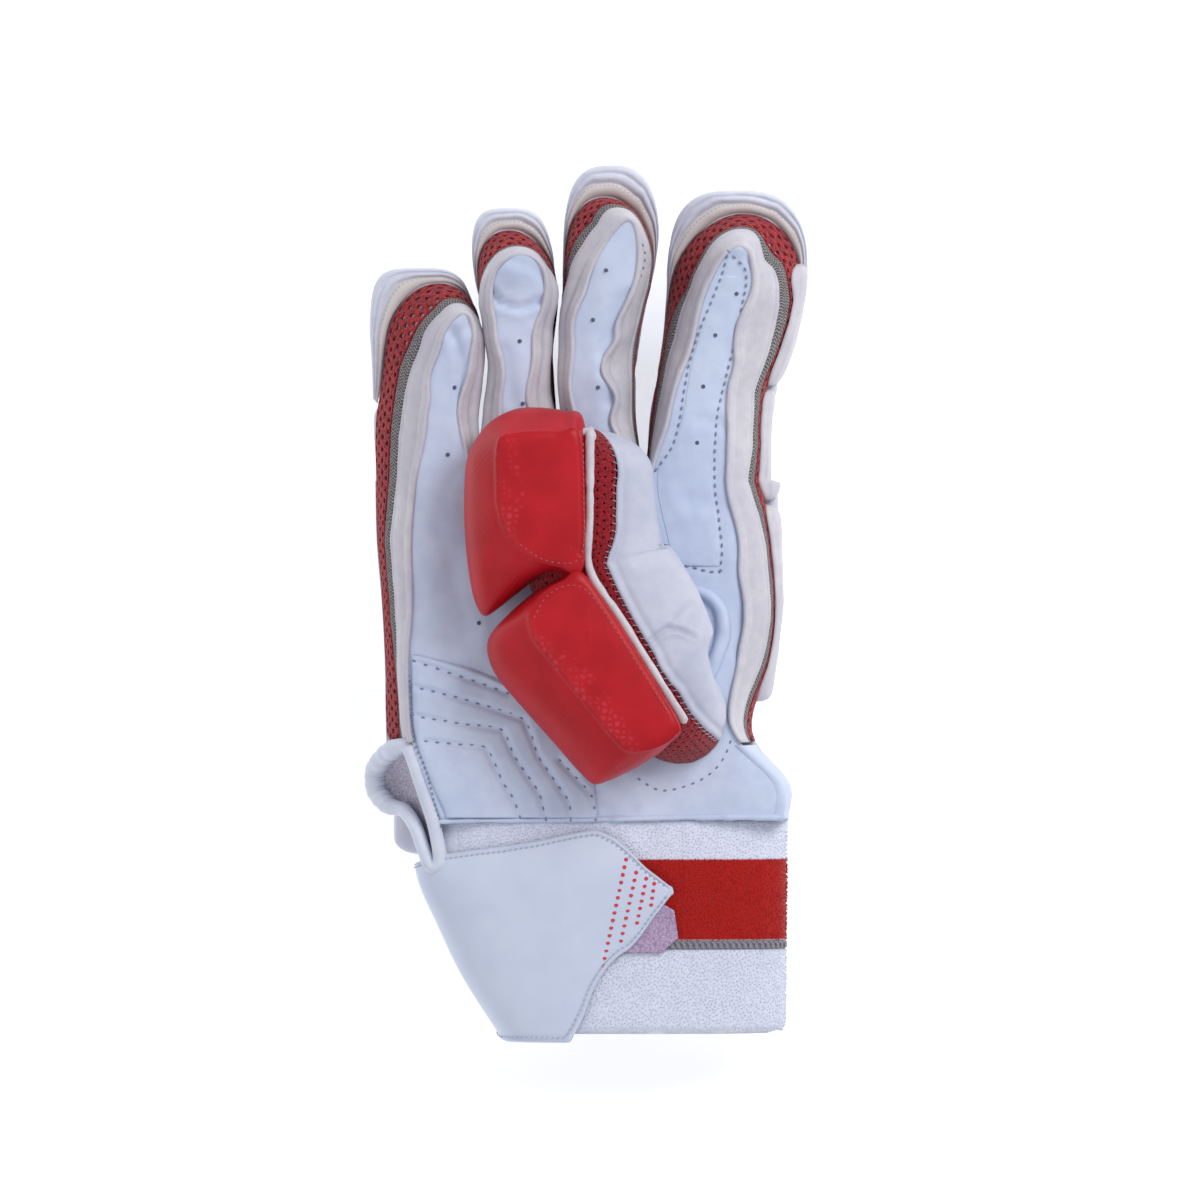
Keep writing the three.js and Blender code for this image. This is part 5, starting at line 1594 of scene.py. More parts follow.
# Below the fold the stall sinks into the palm, and leaves room for the crescent.
below_fold = ease(here, 0.3, 1.2) * (1 - ease(here, 2.7, 3.6))
lift = lift - STALL_SINK * below_fold * np.exp(-(((angle - 352) / 40) ** 2))
stall = sheet("thumb_stall", thumb_place(here, angle, lift * ease(here, 0.0, 0.4)), stall_finish)


def face_away(obj, centre_mm):
    """Turns an open sheet's faces away from a point inside it."""
    mesh = obj.data
    centre = Vector(((np.asarray(centre_mm) + SHIFT) / 1000).tolist())
    facing = sum((face.center - centre).dot(face.normal) for face in mesh.polygons)
    if facing < 0:
        mesh.flip_normals()
    return obj


THUMB_HEART = JOINT + [6, 4, FOLD[2] + THUMB_DEPTH / 2]
dress(thicken(face_away(stall, THUMB_HEART), LEATHER), "leather", "thumb_leather")


def thumb_net_place(along, up):
    t = np.interp(along, thumb_run, thumb_t)
    seam = thumb_seam(t)
    wave = 0.25 * ripple(along, up * 40, 6, 6, 75)
    return thumb_place(t, seam + (MESH_END - seam) * up, wave - 0.45)


thumb_net = net_on("thumb_net", thumb_net_place, thumb_run[-1], 40, 3.0, 0.3, thumb_net_finish)
dress(thumb_net, "net", "thumb_mesh")
# Behind the thumb's net lies a thin dark red sheet: painted shade of the hollow stall, which shows through
# the net's holes.
here, shares = np.meshgrid(thumb_t[::2], np.linspace(0, 1, 14), indexing="ij")
seam = thumb_seam(here)
under = thumb_place(here, seam + (MESH_END - seam) * shares, -1.4)
thumb_lining = sheet("thumb_lining", under, thumb_hollow_shade_finish)
dress(thicken(face_away(thumb_lining, THUMB_HEART), 0.3, offset=0), "lining")
print("stall faces", len(stall.data.polygons), "net faces", len(thumb_net.data.polygons))

# %% [markdown]
# ## The thumb's guards
#
# Two red blocks of foam, wrapped in coated leather, stand on the stall. Seen from above each has a
# flat bright face with a crisp right edge, and a long bevel that falls away to the left. So each is
# lofted between two outlines, its widest one and that of its flat face, then over a low dome. Cloth
# simulation fills the cover, with its edges pinned as seams hold them, and last the stall's own
# space is cut out of it.

# %% Red guards
GUARD_OUTLINES = {
    "thumb_guard_tip": (
        [(0.02, 0), (-0.03, 0.36), (-0.22, 0.62), (-0.38, 0.85), (-0.22, 0.95), (0.15, 1.01), (0.55, 1.03),
         (0.95, 1), (1.22, 0.83), (1.35, 0.57), (1.33, 0.2), (1.2, 0.02)],
        [(0.03, 0.04), (0.02, 0.24), (0.07, 0.42), (0.17, 0.58), (0.34, 0.69), (0.55, 0.75), (0.76, 0.76),
         (0.97, 0.76), (1.11, 0.72), (1.15, 0.52), (1.15, 0.24), (1.1, 0.06)]),
    "thumb_guard_root": (
        [(0.04, 0), (1.42, 0), (1.6, 0.2), (1.62, 0.52), (1.57, 0.87), (1.44, 0.94), (1.06, 1), (0.4, 1.11),
         (0.14, 1.07), (0.02, 0.95), (-0.06, 0.62), (-0.07, 0.35)],
        [(0.07, 0.04), (1.4, 0.03), (1.56, 0.12), (1.56, 0.32), (1.47, 0.5), (1.3, 0.56), (1, 0.6),
         (0.5, 0.66), (0.25, 0.68), (0.07, 0.62), (-0.03, 0.45), (-0.03, 0.22)]),
}
# level is a share of the guard's height and share how far the section has gone to the flat face's
GUARD_SLICES = table("level share", [
    [0.1, 0.3], [0.17, 0.1], [0.24, 0], [0.5, 0], [0.6, 0.06], [0.72, 0.24], [0.82, 0.5], [0.9, 0.75],
    [0.955, 0.93], [0.985, 0.99], [1.0, 1.04],
])
GUARD_DOME = [(1.12, 0.25), (1.25, 0.5), (1.45, 0.75), (1.65, 0.9), (1.85, 0.96)]  # share, mm above


def closed_curve(corners, steps=8):
    """A smooth closed line through its corners."""
    before, after, beyond = (np.roll(corners, k, axis=0) for k in (1, -1, -2))
    t = (np.arange(steps) / steps)[None, :, None]
    a, b, c, d = (part[:, None] for part in (before, corners, after, beyond))
    curve = b + 0.42 * t * (c - a) + t ** 2 * (3 * (c - b) - 0.42 * (2 * (c - a) + (d - b)))
    curve = curve + t ** 3 * (2 * (b - c) + 0.42 * ((c - a) + (d - b)))
    return curve.reshape(-1, corners.shape[1])


def guard_plan(name, line):
    """The x and y of a line on a red guard, given as shares along it from the joint and to its left."""
    to_tip = name.endswith("tip")
    lengthwise = np.array([0, 1.0]) if to_tip else ROOTWARD[:2]
    sideways = np.array([-1.0, 0]) if to_tip else np.array([-math.cos(THUMB_LEAN), -math.sin(THUMB_LEAN)])
    return JOINT[:2] + (line[:, :1] * lengthwise + line[:, 1:] * sideways) * THUMB_GUARD_WIDTH


def guard_block(name):
    """The sections of a red guard, and how many of them lie below its flat face's edge."""
    wide, flat = (closed_curve(np.array(rows)) for rows in GUARD_OUTLINES[name])
    crown = flat.mean(axis=0)
    height = THUMB_CLEAR + THUMB_DEPTH + THUMB_GUARD_HEIGHT
    levels = np.concatenate([np.linspace(0.1, 0.9, 22), [0.92, 0.94, 0.955, 0.968, 0.98, 0.99, 1.0]])
    rings = []
    for level in levels:
        share = float(sample(GUARD_SLICES, "level", "share", level))
        rings.append((wide * (1 - share) + flat * share, level * height))
    for share, above in GUARD_DOME:
        inner = min(share - 1, 0.9)
        rings.append((flat * (1 - inner) + crown * inner, height + above))
    sections = []
    for outline_at, z in rings:
        xy = guard_plan(name, outline_at)
        sections.append(np.column_stack([xy, np.full(len(xy), FOLD[2] + z)]))
    return np.array(sections), len(levels)


cutter_t = np.concatenate([np.linspace(0, 8, 40), np.linspace(8, 9, 10)[1:]])
ring_angles = np.arange(0, 360, 10.0)
stall_sections = thumb_place(cutter_t[:, None], ring_angles[None, :], GAP * 1.5)
cutter_points, cutter_faces = skin(stall_sections)
for i, name in enumerate(GUARD_OUTLINES):
    sections, edge_ring = guard_block(name)
    rings, count = sections.shape[:2]
    points, faces = skin(sections)
    faces = outward(points, faces)
    ring_of = np.repeat(np.arange(rings), count)
    pins = (ring_of <= 4) | ((ring_of >= edge_ring - 3) & (ring_of <= edge_ring))
    pins = np.concatenate([pins, [True, False]]).astype(float)
    points = inflate(points, faces, pins, cap=0.9)
    uneven = 0.25 * ripple(points[:, 0] + 30 * i, points[:, 1] + points[:, 2], 9, 11, 77)
    points[:, 2] += uneven * ease(points[:, 2], FOLD[2] + 10, FOLD[2] + 30)
    around = np.tile(np.arange(count) / count, rings)
    uv = np.column_stack([around * 100, ring_of * 10.0 / edge_ring])
    uv = np.concatenate([uv, [[0, 0], [0, 18]]])
    block = make("red_" + name, points, faces, red_finish, uv)
    cutter = make("cutter", cutter_points, cutter_faces, red_finish)
    cut = block.modifiers.new("Cut", "BOOLEAN")
    cut.operation = "DIFFERENCE"
    cut.solver = "EXACT"
    cut.object = cutter
    settle(block)
    bpy.data.objects.remove(cutter)
    dress(block, "thumb_guard", name)
    print(name, len(block.data.polygons), "faces")

# %% [markdown]
# A cord of folded leather hides the seam between the guards and the net. It runs over the stall's
# ridge from the tip guard to the root, and thins and thickens a little as hand-turned piping does.

# %% Piping
def cord(name, route, radius, finish, sides=14, step=0.9, uneven=0.12, seed=81):
    """A cord along a smooth route, its thickness a little uneven, with drawn-in ends."""
    route = np.asarray(route, float)
    length = np.linalg.norm(np.diff(route, axis=0), axis=1).sum()
    line = curve_through(route, int(length / step))
    ahead = np.gradient(line, axis=0)
    ahead /= np.linalg.norm(ahead, axis=1, keepdims=True)
    side = np.cross(ahead, [0, 0, 1.0])
    side /= np.maximum(np.linalg.norm(side, axis=1, keepdims=True), 1e-6)
    up = np.cross(side, ahead)
    turn = np.linspace(0, 2 * np.pi, sides, endpoint=False)
    at = np.linspace(0, length, len(line))
    ends = np.sqrt(1 - (1 - np.clip(np.minimum(at, length - at) / radius, 0.02, 1)) ** 2)
    lumps = uneven * ripple(at, at * 0, 3.2, 3, seed)
    thick = radius * ends * (1 + lumps + uneven * ripple(at, at * 0, 9, 3, seed + 1))
    ring = side[:, None] * np.cos(turn)[None, :, None] + up[:, None] * np.sin(turn)[None, :, None]
    sections = line[:, None] + ring * thick[:, None, None]
    return shell(name, sections, finish, np.repeat(at, sides), np.tile(turn * radius, len(line)))


stand = THUMB_DEPTH + THUMB_CLEAR + PIPING_RADIUS + 2 * GAP
top = FOLD[2] + stand
# share of the way to the tip, and mm of drop
TIP_RUN = [(1.0, 9.0), (0.96, 4.0), (0.88, 1.0), (0.72, 0.0), (0.4, 0.0), (0.0, 0.0)]
route = [JOINT + [PIPING_SHIFT, share * THUMB_TIP_LENGTH, top - drop] for share, drop in TIP_RUN]
for share in (0.5, 0.98):
    route.append(JOINT + ROOTWARD * share * THUMB_ROOT_LENGTH + [PIPING_SHIFT, 0, top])
for turn in (72, 50):
    upright = turn / 90
    reach = THUMB_ROOT_REACH * (1 - upright) + THUMB_DEPTH * upright + stand - THUMB_DEPTH
    out = ROOTWARD * math.cos(math.radians(turn)) + np.array([0, 0, math.sin(math.radians(turn))])
    route.append(FOLD + out * reach + [PIPING_SHIFT, 0, 0])
piping = cord("piping", route, PIPING_RADIUS, piping_finish)
dress(piping, "leather", "thumb_piping")


def short_cord(name, spots, radius):
    """A short end of cord through (column, row, mm below the piping's level)."""
    points = [[*(photo(spot[:2])[0]), top - spot[2]] for spot in spots]
    dress(cord(name, points, radius, piping_finish, step=0.4), "leather")


short_cord("piping_branch", [(588, 556, 0.6), (583, 564, 1.5), (576, 569, 3), (567, 571, 5)], 0.95)
KNOT = [(581, 443, 3.5), (581, 436, 4), (587, 432, 4.5), (593, 436, 4.5), (592, 443, 4)]
short_cord("piping_knot", KNOT, 1.0)

# %% [markdown]
# ## Leather laid on the palm
#
# The heel carries a padded overlay, quilted by four rows of thread that turn a corner, and the
# index finger a long wear patch. Both lie on the palm's height field. The heel's foam puffs up
# between its rows of thread, and its edge is a small step that casts the line seen in the photograph.

# %% Patches
HEEL_ROWS = table("down left right", [
    [0.515, -1.755, -1.7], [0.53, -1.76, -1.5], [0.56, -1.76, -1.13], [0.6, -1.76, -0.8],
    [0.64, -1.76, -0.47], [0.74, -1.74, -0.3], [0.84, -1.64, 0.02], [0.98, -1.43, 0.1], [1.0, -1.42, 0.1],
])
INDEX_PATCH_ROWS = table("along left right", [
    [-0.32, 0.92, 1.32], [-0.2, 0.8, 1.32], [0.03, 0.7, 1.24], [0.2, 0.93, 1.3], [0.4, 1.04, 1.4],
    [0.6, 1.2, 1.5], [0.71, 1.32, 1.48],
])


def laid_patch(name, y, left, right, height, edge, finish, puff=0.0, columns=70):
    """A patch between two edges, its height rising from its border over edge mm."""
    shares = np.linspace(0, 1, columns)
    x = (left[:, None] * (1 - shares) + right[:, None] * shares) * FINGER_WIDTH
    y = np.repeat(y, columns).reshape(x.shape)
    wide = (right - left)[:, None] * FINGER_WIDTH
    border = np.minimum(np.minimum(shares, 1 - shares) * wide, np.abs(y - y[0, 0]))
    z = palm_level(x, y) + height * np.sqrt(ease(border, -0.3, edge)) + 0.05
    z = z + puff * (1 - thread_pull(x, y)) * ease(border, 0, 3)
    points = np.stack([x, y, z], axis=-1).reshape(-1, 3)
    obj = make(name, points, grid_quads(*x.shape)[:, ::-1], finish, closed=False)
    return thicken(face_away(obj, points.mean(axis=0) - [0, 0, 30]), 0.9)


def both_sides(rows, key, at):
    """The left and right columns of a table, read smoothly."""
    return (sample(rows, key, side, at) for side in ("left", "right"))


down = np.linspace(0.515, 0.995, 90)
heel = laid_patch("heel", -down * PALM_LENGTH, *both_sides(HEEL_ROWS, "down", down),
                  0.75, 0.9, palm_finish, puff=0.75)
dress(heel, "leather", "heel_patch")
along = np.linspace(-0.3, 0.7, 110)
wear = laid_patch("wear_patch", along * FINGERS["index"]["length"],
                  *both_sides(INDEX_PATCH_ROWS, "along", along), 0.12, 6.0, palm_finish)
dress(wear, "leather", "index_patch")
print("heel", len(heel.data.polygons), "wear patch", len(wear.data.polygons))

# %% [markdown]
# ## Thread, vents and dots
#
# A row of stitches is a rule: the same short spindle of thread, again and again along a line. The
# tree turns a line into points at the thread's pitch, lays a spindle along each and makes them one
# mesh. Vent holes and printed dots are the second rule, one small dome on every point.

# %% Trees for stitches and dots
stitch_growth = Growth("stitches", pitch=0.0035, dash=0.0015, width=0.0005, finish=None)
given = stitch_growth.given
line = stitch_growth.node("GeometryNodeMeshToCurve", sockets={"Mesh": given["Geometry"]})
marks = stitch_growth.node("GeometryNodeCurveToPoints", {"mode": "LENGTH"},
                           {"Curve": line, "Length": given["pitch"]})
tangent = Value(stitch_growth, marks.socket.node.outputs["Tangent"])
turned = stitch_growth.node("FunctionNodeAlignRotationToVector", {"axis": "X"}, {"Vector": tangent})
spindle = stitch_growth.node("GeometryNodeMeshUVSphere", sockets={"Segments": 6, "Rings": 5, "Radius": 0.5})
size = stitch_growth.node("ShaderNodeCombineXYZ", sockets=[given["dash"], given["width"], given["width"]])
rows = stitch_growth.node("GeometryNodeInstanceOnPoints", {},
                          {"Points": marks, "Instance": spindle, "Rotation": turned, "Scale": size})
stitch_growth.end(rows)

dot_growth = Growth("dots", across=0.0012, height=0.0003, finish=None)
given = dot_growth.given
dome = dot_growth.node("GeometryNodeMeshUVSphere", sockets={"Segments": 12, "Rings": 5, "Radius": 0.5})
size = dot_growth.node("ShaderNodeCombineXYZ", sockets=[given["across"], given["across"], given["height"]])
field = dot_growth.node("GeometryNodeInstanceOnPoints", {},
                        {"Points": given["Geometry"], "Instance": dome, "Scale": size})
dot_growth.end(field)


def thread_along(name, lines, finish, pitch, dash, width=0.75):
    """Stitches along lines of points in the source's mm."""
    points, edges = [], []
    for line in lines:
        start = len(points)
        points.extend(line.tolist())
        edges.extend((start + i, start + i + 1) for i in range(len(line) - 1))
    sizes = {"pitch": pitch / 1000, "dash": dash / 1000, "width": width / 1000}
    return stitch_growth.use(raw_object(name, points, edges), finish, **sizes)


def dots_on(name, points, finish, across, height):
    """A flat dome on each of these points."""
    return dot_growth.use(raw_object(name, points), finish, across=across / 1000, height=height / 1000)


# %% Stitches and vents of the palm
def palm_surface(x, y):
    """The height of what shows: the heel's patch where it lies, else the palm."""
    level = palm_level(x, y)
    down = -y / PALM_LENGTH
    left, right = (edge * FINGER_WIDTH for edge in both_sides(HEEL_ROWS, "down", np.clip(down, 0.515, 1)))
    on_heel = (down > 0.52) & (x > left - 0.5) & (x < right + 0.5)
    return level + np.where(on_heel, 0.8, 0.0)


for i, (name, (pitch, dash, line)) in enumerate(THREADS.items()):
    route = along_line(curve_through(photo(*line), 60), 0.8)
    route = route + 0.12 * np.column_stack([ripple(route[:, 0], route[:, 1], 3, 3, 91 + i)] * 2)
    lift = palm_surface(route[:, 0], route[:, 1]) + (0.35 if name.startswith("index") else 0.12)
    path = np.column_stack([route, lift])
    stitches = thread_along("thread_" + name.replace(" ", "_"), [path], thread_finish, pitch, dash)
    dress(stitches, "leather")

# Each vent is a flat dark dome on the leather, which is not cut: its colour is painted shade for the inside
# of the hole.
VENTS = photo((455, 388), (448, 455), (520, 342), (523, 404), (606, 272), (593, 321), (598, 388), (736, 295),
              (715, 336), (703, 387), (697, 443), (479, 623))
vent_height = palm_level(VENTS[:, 0], VENTS[:, 1]) + 0.25
vents = dots_on("vents", np.column_stack([VENTS, vent_height]), vent_shade_finish, 1.5, 0.5)
dress(vents, "leather")
print("thread rows", len(THREADS), "vents", len(VENTS))

# %% [markdown]
# Thread also edges the thumb: small overlock ticks where leather meets net, and a pale running
# stitch just inside the right and lower edges of each red guard's flat face.

# %% Thread of the thumb
ticks = []
for t in np.interp(np.arange(10, thumb_run[-1] - 6, 2.6), thumb_run, thumb_t):
    seam = float(thumb_seam(t))
    angles = np.linspace(seam - 2.6, seam + 2.2, 5)
    rise_over = 0.6 * np.sin(np.linspace(0.3, np.pi - 0.3, 5))
    ticks.append(thumb_place(np.full(5, t) + 0.02 * np.linspace(-1, 1, 5), angles, rise_over))
overlock = thread_along("thread_overlock", ticks, pale_thread_finish, 0.55, 0.8, 0.34)
dress(overlock, "leather")

GUARD_THREADS = {
    "thumb_guard_tip": [(1.04, 0.035), (0.6, 0.03), (0.2, 0.035), (0.07, 0.09), (0.055, 0.24), (0.1, 0.4),
                        (0.2, 0.55)],
    "thumb_guard_root": [(1.38, 0.06), (1.0, 0.065), (0.5, 0.07), (0.14, 0.1), (0.03, 0.2), (0.01, 0.4),
                         (0.1, 0.58)],
}
for name, corners in GUARD_THREADS.items():
    xy = guard_plan(name, curve_through(corners, 80))
    top = FOLD[2] + THUMB_CLEAR + THUMB_DEPTH + THUMB_GUARD_HEIGHT + 0.35
    route = np.column_stack([xy, np.full(len(xy), top)])
    stitches = thread_along("thread_" + name, [route], guard_thread_finish, 2.0, 1.1, 0.5)
    dress(stitches, "thumb_guard")

# %% [markdown]
# Where the thumb leaves the palm, the palm's leather is turned back over the opening's edge. That
# makes a soft crescent beside the stall, and a thin cord finishes the palm at the cuff's seam.

# %% Crescent and wrist seam
CRESCENT_OUTSIDE = [(684, 584), (700, 586), (714, 592), (727, 608), (731, 634), (726, 652), (716, 676),
                    (699, 700)]
CRESCENT_INSIDE = [(680, 592), (692, 594), (703, 600), (713, 612), (715, 632), (711, 648), (703, 666),
                   (686, 690)]


def laid_roll(name, inside, outside, height, finish, stations=70):
    """A soft roll of leather on the palm between two lines."""
    left, right = curve_through(photo(*inside), stations), curve_through(photo(*outside), stations)
    shares = np.linspace(0, 1, 15)
    xy = spread(left, right, shares)
    level = palm_level(xy[..., 0], xy[..., 1])
    run = np.linspace(0, 1, stations)
    ends = np.sqrt(np.sin(np.pi * np.clip(run, 0.004, 0.996)))[:, None]
    arch = np.sqrt(1 - (2 * shares - 1) ** 2)[None, :]
    uneven = 1 + 0.2 * ripple(xy[..., 0], xy[..., 1], 6, 5, 161)
    upper = np.dstack([xy, level + height * arch * ends * uneven + 0.02])
    lower = np.dstack([xy, level - 0.6])
    return shell(name, np.concatenate([upper, lower[:, 1:-1][:, ::-1]], axis=1), finish)


dress(laid_roll("crescent", CRESCENT_INSIDE, CRESCENT_OUTSIDE, 2.6, palm_finish), "leather")
seam_line = curve_through(photo((434, 822), (470, 820), (540, 820), (604, 819), (688, 817), (786, 817)), 80)
seam_height = palm_level(seam_line[:, 0], seam_line[:, 1]) - 0.2
seam_path = np.column_stack([seam_line, seam_height])
dress(cord("wrist_seam", seam_path, 1.0, palm_finish, uneven=0.18, seed=171), "leather")

# %% [markdown]
# ## The cuff
#
# The cuff is a tube of terry knit, flat where the wrist is flat and rounder at its mouth. One
# function gives any point of it, by the turn round it and the share of its length, as in the
# source. A plain tube of cloth goes first, with soft ribs where it is gathered into the wrist seam.

# %% Surface of the cuff
CUFF_EDGE = 0.38
CUFF_TOP_LEFT, CUFF_TOP_RIGHT, CUFF_MOUTH_RIGHT = -1.63, 2.01, 1.98
CUFF_ROWS = table("down narrow sunk", [
    [0, 0, 0], [0.25, 0.02, 0.04], [0.5, 0.3, 0.42], [0.75, 0.61, 0.8], [1, 1, 1],
])


def lerp(low, high, share):
    return low + (high - low) * share


CUFF_CORNER = 3.4


def cuff_place(turn, down, grow=0.0):
    """A point of the cuff: turn is 0 at the little finger's side and 90 on top, down runs to the mouth."""
    turn, down, grow = np.broadcast_arrays(np.asarray(turn, float), down, grow)
    narrow = sample(CUFF_ROWS, "down", "narrow", down)
    sunk = sample(CUFF_ROWS, "down", "sunk", down)
    mouth_right = CUFF_MOUTH_RIGHT * FINGER_WIDTH
    left = lerp(CUFF_TOP_LEFT * FINGER_WIDTH, mouth_right - CUFF_MOUTH_WIDTH, narrow)
    right = lerp(CUFF_TOP_RIGHT * FINGER_WIDTH, mouth_right, down)
    right = right - CUFF_CORNER * (1 - np.sqrt(1 - np.clip((down - 0.93) / 0.07, 0, 1) ** 2))
    low = lerp(WALL_FOOT - LEATHER, CUFF_MOUTH_LIFT, sunk)
    high = lerp(PALM_TOP, CUFF_MOUTH_LIFT + CUFF_MOUTH_DEPTH, sunk)
    cos, sin = np.cos(np.radians(turn)), np.sin(np.radians(turn))
    x = (left + right) / 2 - np.sign(cos) * np.abs(cos) ** (2 * CUFF_EDGE) * ((right - left) / 2 + grow)
    z = (low + high) / 2 + np.sign(sin) * np.abs(sin) ** (2 * CUFF_EDGE) * ((high - low) / 2 + grow)
    return np.stack([x, -PALM_LENGTH - GAP - down * CUFF_LENGTH, z], axis=-1)


def even_turns(low, high, count):
    """Turns at even steps along the cuff's section, whose corners would crowd even angles."""
    fine = np.linspace(low, high, 2400)
    line = cuff_place(fine, 0.5)
    run = run_along(line)
    return np.interp(np.linspace(0, run[-1], count), run, fine)


def cuff_slack(turn, down):
    """Soft ribs that run down from the gathered seam, and the slackness of the cloth."""
    ribs = 0.35 * ripple(turn * 0.9, down * 4, 2.2, 3, 101) * (1 - 0.6 * down)
    return ribs + 0.6 * ripple(turn, down * 60, 16, 22, 102)


turns = even_turns(-180, 180, 181)[:-1]
downs_out = np.linspace(0, 1, 50)
corner = 2.2
outer, inner = [], []
for down in downs_out:
    lip = corner * (1 - np.sqrt(1 - np.clip((down * CUFF_LENGTH - CUFF_LENGTH + corner) / corner, 0, 1) ** 2))
    outer.append(cuff_place(turns, down, cuff_slack(turns, down) - 0.5 - lip))
    inner.append(cuff_place(turns, down, cuff_slack(turns, down) * 0.5 - CUFF_WALL + lip * 0.3))
cuff = hoop("cuff_cloth", np.array(outer + inner[::-1]), cloth_finish)
dress(cuff, "terry", "cuff")

# %% [markdown]
# Terry is thousands of small loops. The tree scatters points over a patch of the cuff at an even
# spacing, stands a bent loop of yarn on each with a random lean, and joins them. The cuff's upper
# side gets close loops, in three patches: white, the red stripe, and white again. The rest is seen
# at an angle and gets fewer. None grow under the strap.

# %% Terry tree
terry_growth = Growth("terry", spacing=0.001, loop=0.0007, finish=None)
given = terry_growth.given
scatter = terry_growth.node("GeometryNodeDistributePointsOnFaces", {"distribute_method": "POISSON"},
                            {"Mesh": given["Geometry"], "Distance Min": given["spacing"], "Density Max": 3e6,
                             "Seed": 7})
upright = Value(terry_growth, scatter.socket.node.outputs["Rotation"])
lean = terry_growth.node("FunctionNodeRandomValue", {"data_type": "FLOAT_VECTOR"},
                         {"Min": (-0.5, -0.5, -math.pi), "Max": (0.5, 0.5, math.pi), "Seed": 11})
leaning = terry_growth.node("FunctionNodeRotateRotation", {"rotation_space": "LOCAL"},
                            {"Rotation": upright, "Rotate By": lean})
arc = terry_growth.node("GeometryNodeCurveArc", sockets={"Resolution": 5, "Radius": 1.0, "Start Angle": -0.5,
                                                         "Sweep Angle": math.pi + 1.0})
ring = terry_growth.node("GeometryNodeCurvePrimitiveCircle", sockets={"Resolution": 3, "Radius": 0.42})
loop = terry_growth.node("GeometryNodeCurveToMesh", sockets={"Curve": arc, "Profile Curve": ring})
standing = terry_growth.node("GeometryNodeTransform",
                             sockets={"Geometry": loop, "Rotation": (math.pi / 2, 0, 0)})
loops = terry_growth.node("GeometryNodeInstanceOnPoints", {},
                          {"Points": scatter, "Instance": standing, "Rotation": leaning,
                           "Scale": given["loop"]})
terry_growth.end(loops)


# %% Strap outline and terry patches
STRAP_ROWS = table("turn top bottom", [
    [-62, 0.3, 0.8], [-40, 0.25, 0.9], [-22, 0.2, 1.0], [8, 0.2, 1.04], [64, 0.12, 1.04], [75, 0.095, 0.9],
    [89, 0.04, 0.64], [97, 0.215, 0.46], [104, 0.315, 0.335],
])


def strap_edges(turn):
    """Shares of the cuff's length between which the strap lies at a turn; equal where it doesn't."""
    top = np.interp(turn, STRAP_ROWS["turn"], STRAP_ROWS["top"])
    bottom = np.interp(turn, STRAP_ROWS["turn"], STRAP_ROWS["bottom"])
    beyond = (turn < STRAP_ROWS["turn"][0]) | (turn > STRAP_ROWS["turn"][-1])
    return np.where(beyond, 2.0, top), np.where(beyond, 2.0, bottom)


def terry_patch(name, low, high, down_low, down_high, spacing, loop, finish):
    """Loops of yarn between two turns and two shares of the cuff's length, where the strap leaves room."""
    turn, down = np.meshgrid(even_turns(low, high, 130), np.linspace(down_low, down_high, 60), indexing="ij")
    points = cuff_place(turn, down, cuff_slack(turn, down) - 0.45)
    faces = grid_quads(*turn.shape)
    top, bottom = strap_edges(turn.ravel())
    bare = (down.ravel() > top + 0.03) & (down.ravel() < bottom - 0.02)
    kept = [face for face in faces.tolist() if not all(bare[face])]
    obj = make(name, points.reshape(-1, 3), kept, finish, closed=False)
    face_away(obj, [0, -PALM_LENGTH - CUFF_LENGTH / 2, (WALL_FOOT + PALM_TOP) / 2 - 6])
    terry_growth.use(obj, finish, spacing=spacing / 1000, loop=loop / 1000)
    dress(obj, "terry")
    print(name, len(obj.data.polygons), "faces")


def cuff_share(y):
    """The share of the cuff's length at a place y."""
    return (-PALM_LENGTH - GAP - y) / CUFF_LENGTH


stripe_low, stripe_high, dash_high = (float(cuff_share(y)) for y in (STRIPE_TOP, STRIPE_END, DASH_END))
terry_patch("terry_top", 40, 176, 0.0, stripe_low, 0.95, 0.3, terry_finish)
terry_patch("terry_stripe", 66, 176, stripe_low, stripe_high, 0.9, 0.32, stripe_finish)
terry_patch("terry_foot", 66, 176, dash_high, 0.985, 1.0, 0.34, terry_finish)
terry_patch("terry_under_top", 176, 320, 0.0, stripe_low, 1.3, 0.5, terry_finish)
terry_patch("terry_under_stripe", 176, 320, stripe_low, stripe_high, 1.25, 0.5, stripe_finish)
terry_patch("terry_under_foot", 176, 320, dash_high, 0.985, 1.3, 0.52, terry_finish)

# %% [markdown]
# Between the stripe and the foot runs a grey line of dashes, knitted in. It is a row of short flat
# stitches round the cuff.

# %% Dashed line
line_turns = even_turns(70, 300, 220)
dash_rows = [cuff_place(line_turns, share, cuff_slack(line_turns, share) - 0.25)
             for share in np.linspace(stripe_high + 0.012, dash_high - 0.012, 4)]
dashes = thread_along("thread_cuff", dash_rows, cuff_thread_finish, 2.1, 1.7, 0.85)
dress(dashes, "terry")

# %% [markdown]
# ## The strap
#
# The strap is coated leather folded over a stiffener. It wraps the cuff from below, round the
# little finger's side, and closes on top with hook tape under its slanted tip. Its border is turned
# over a thin cord and sewn down, which gives the raised rim, the groove and the fine stitches. Rows
# of printed red dots run along the slanted edge.

# %% Strap
STRAP_LOW = HOOK_THICKNESS + 2 * GAP
strap_turns = even_turns(STRAP_ROWS["turn"][0], STRAP_ROWS["turn"][-1], 240)
smooth = np.ones(7) / 7


def strap_line(column):
    values = np.interp(strap_turns, STRAP_ROWS["turn"], STRAP_ROWS[column])
    return np.convolve(np.pad(values, 3, mode="edge"), smooth, mode="valid")


strap_top, strap_bottom = strap_line("top"), strap_line("bottom")
strap_run = run_along(cuff_place(strap_turns, 0.5))


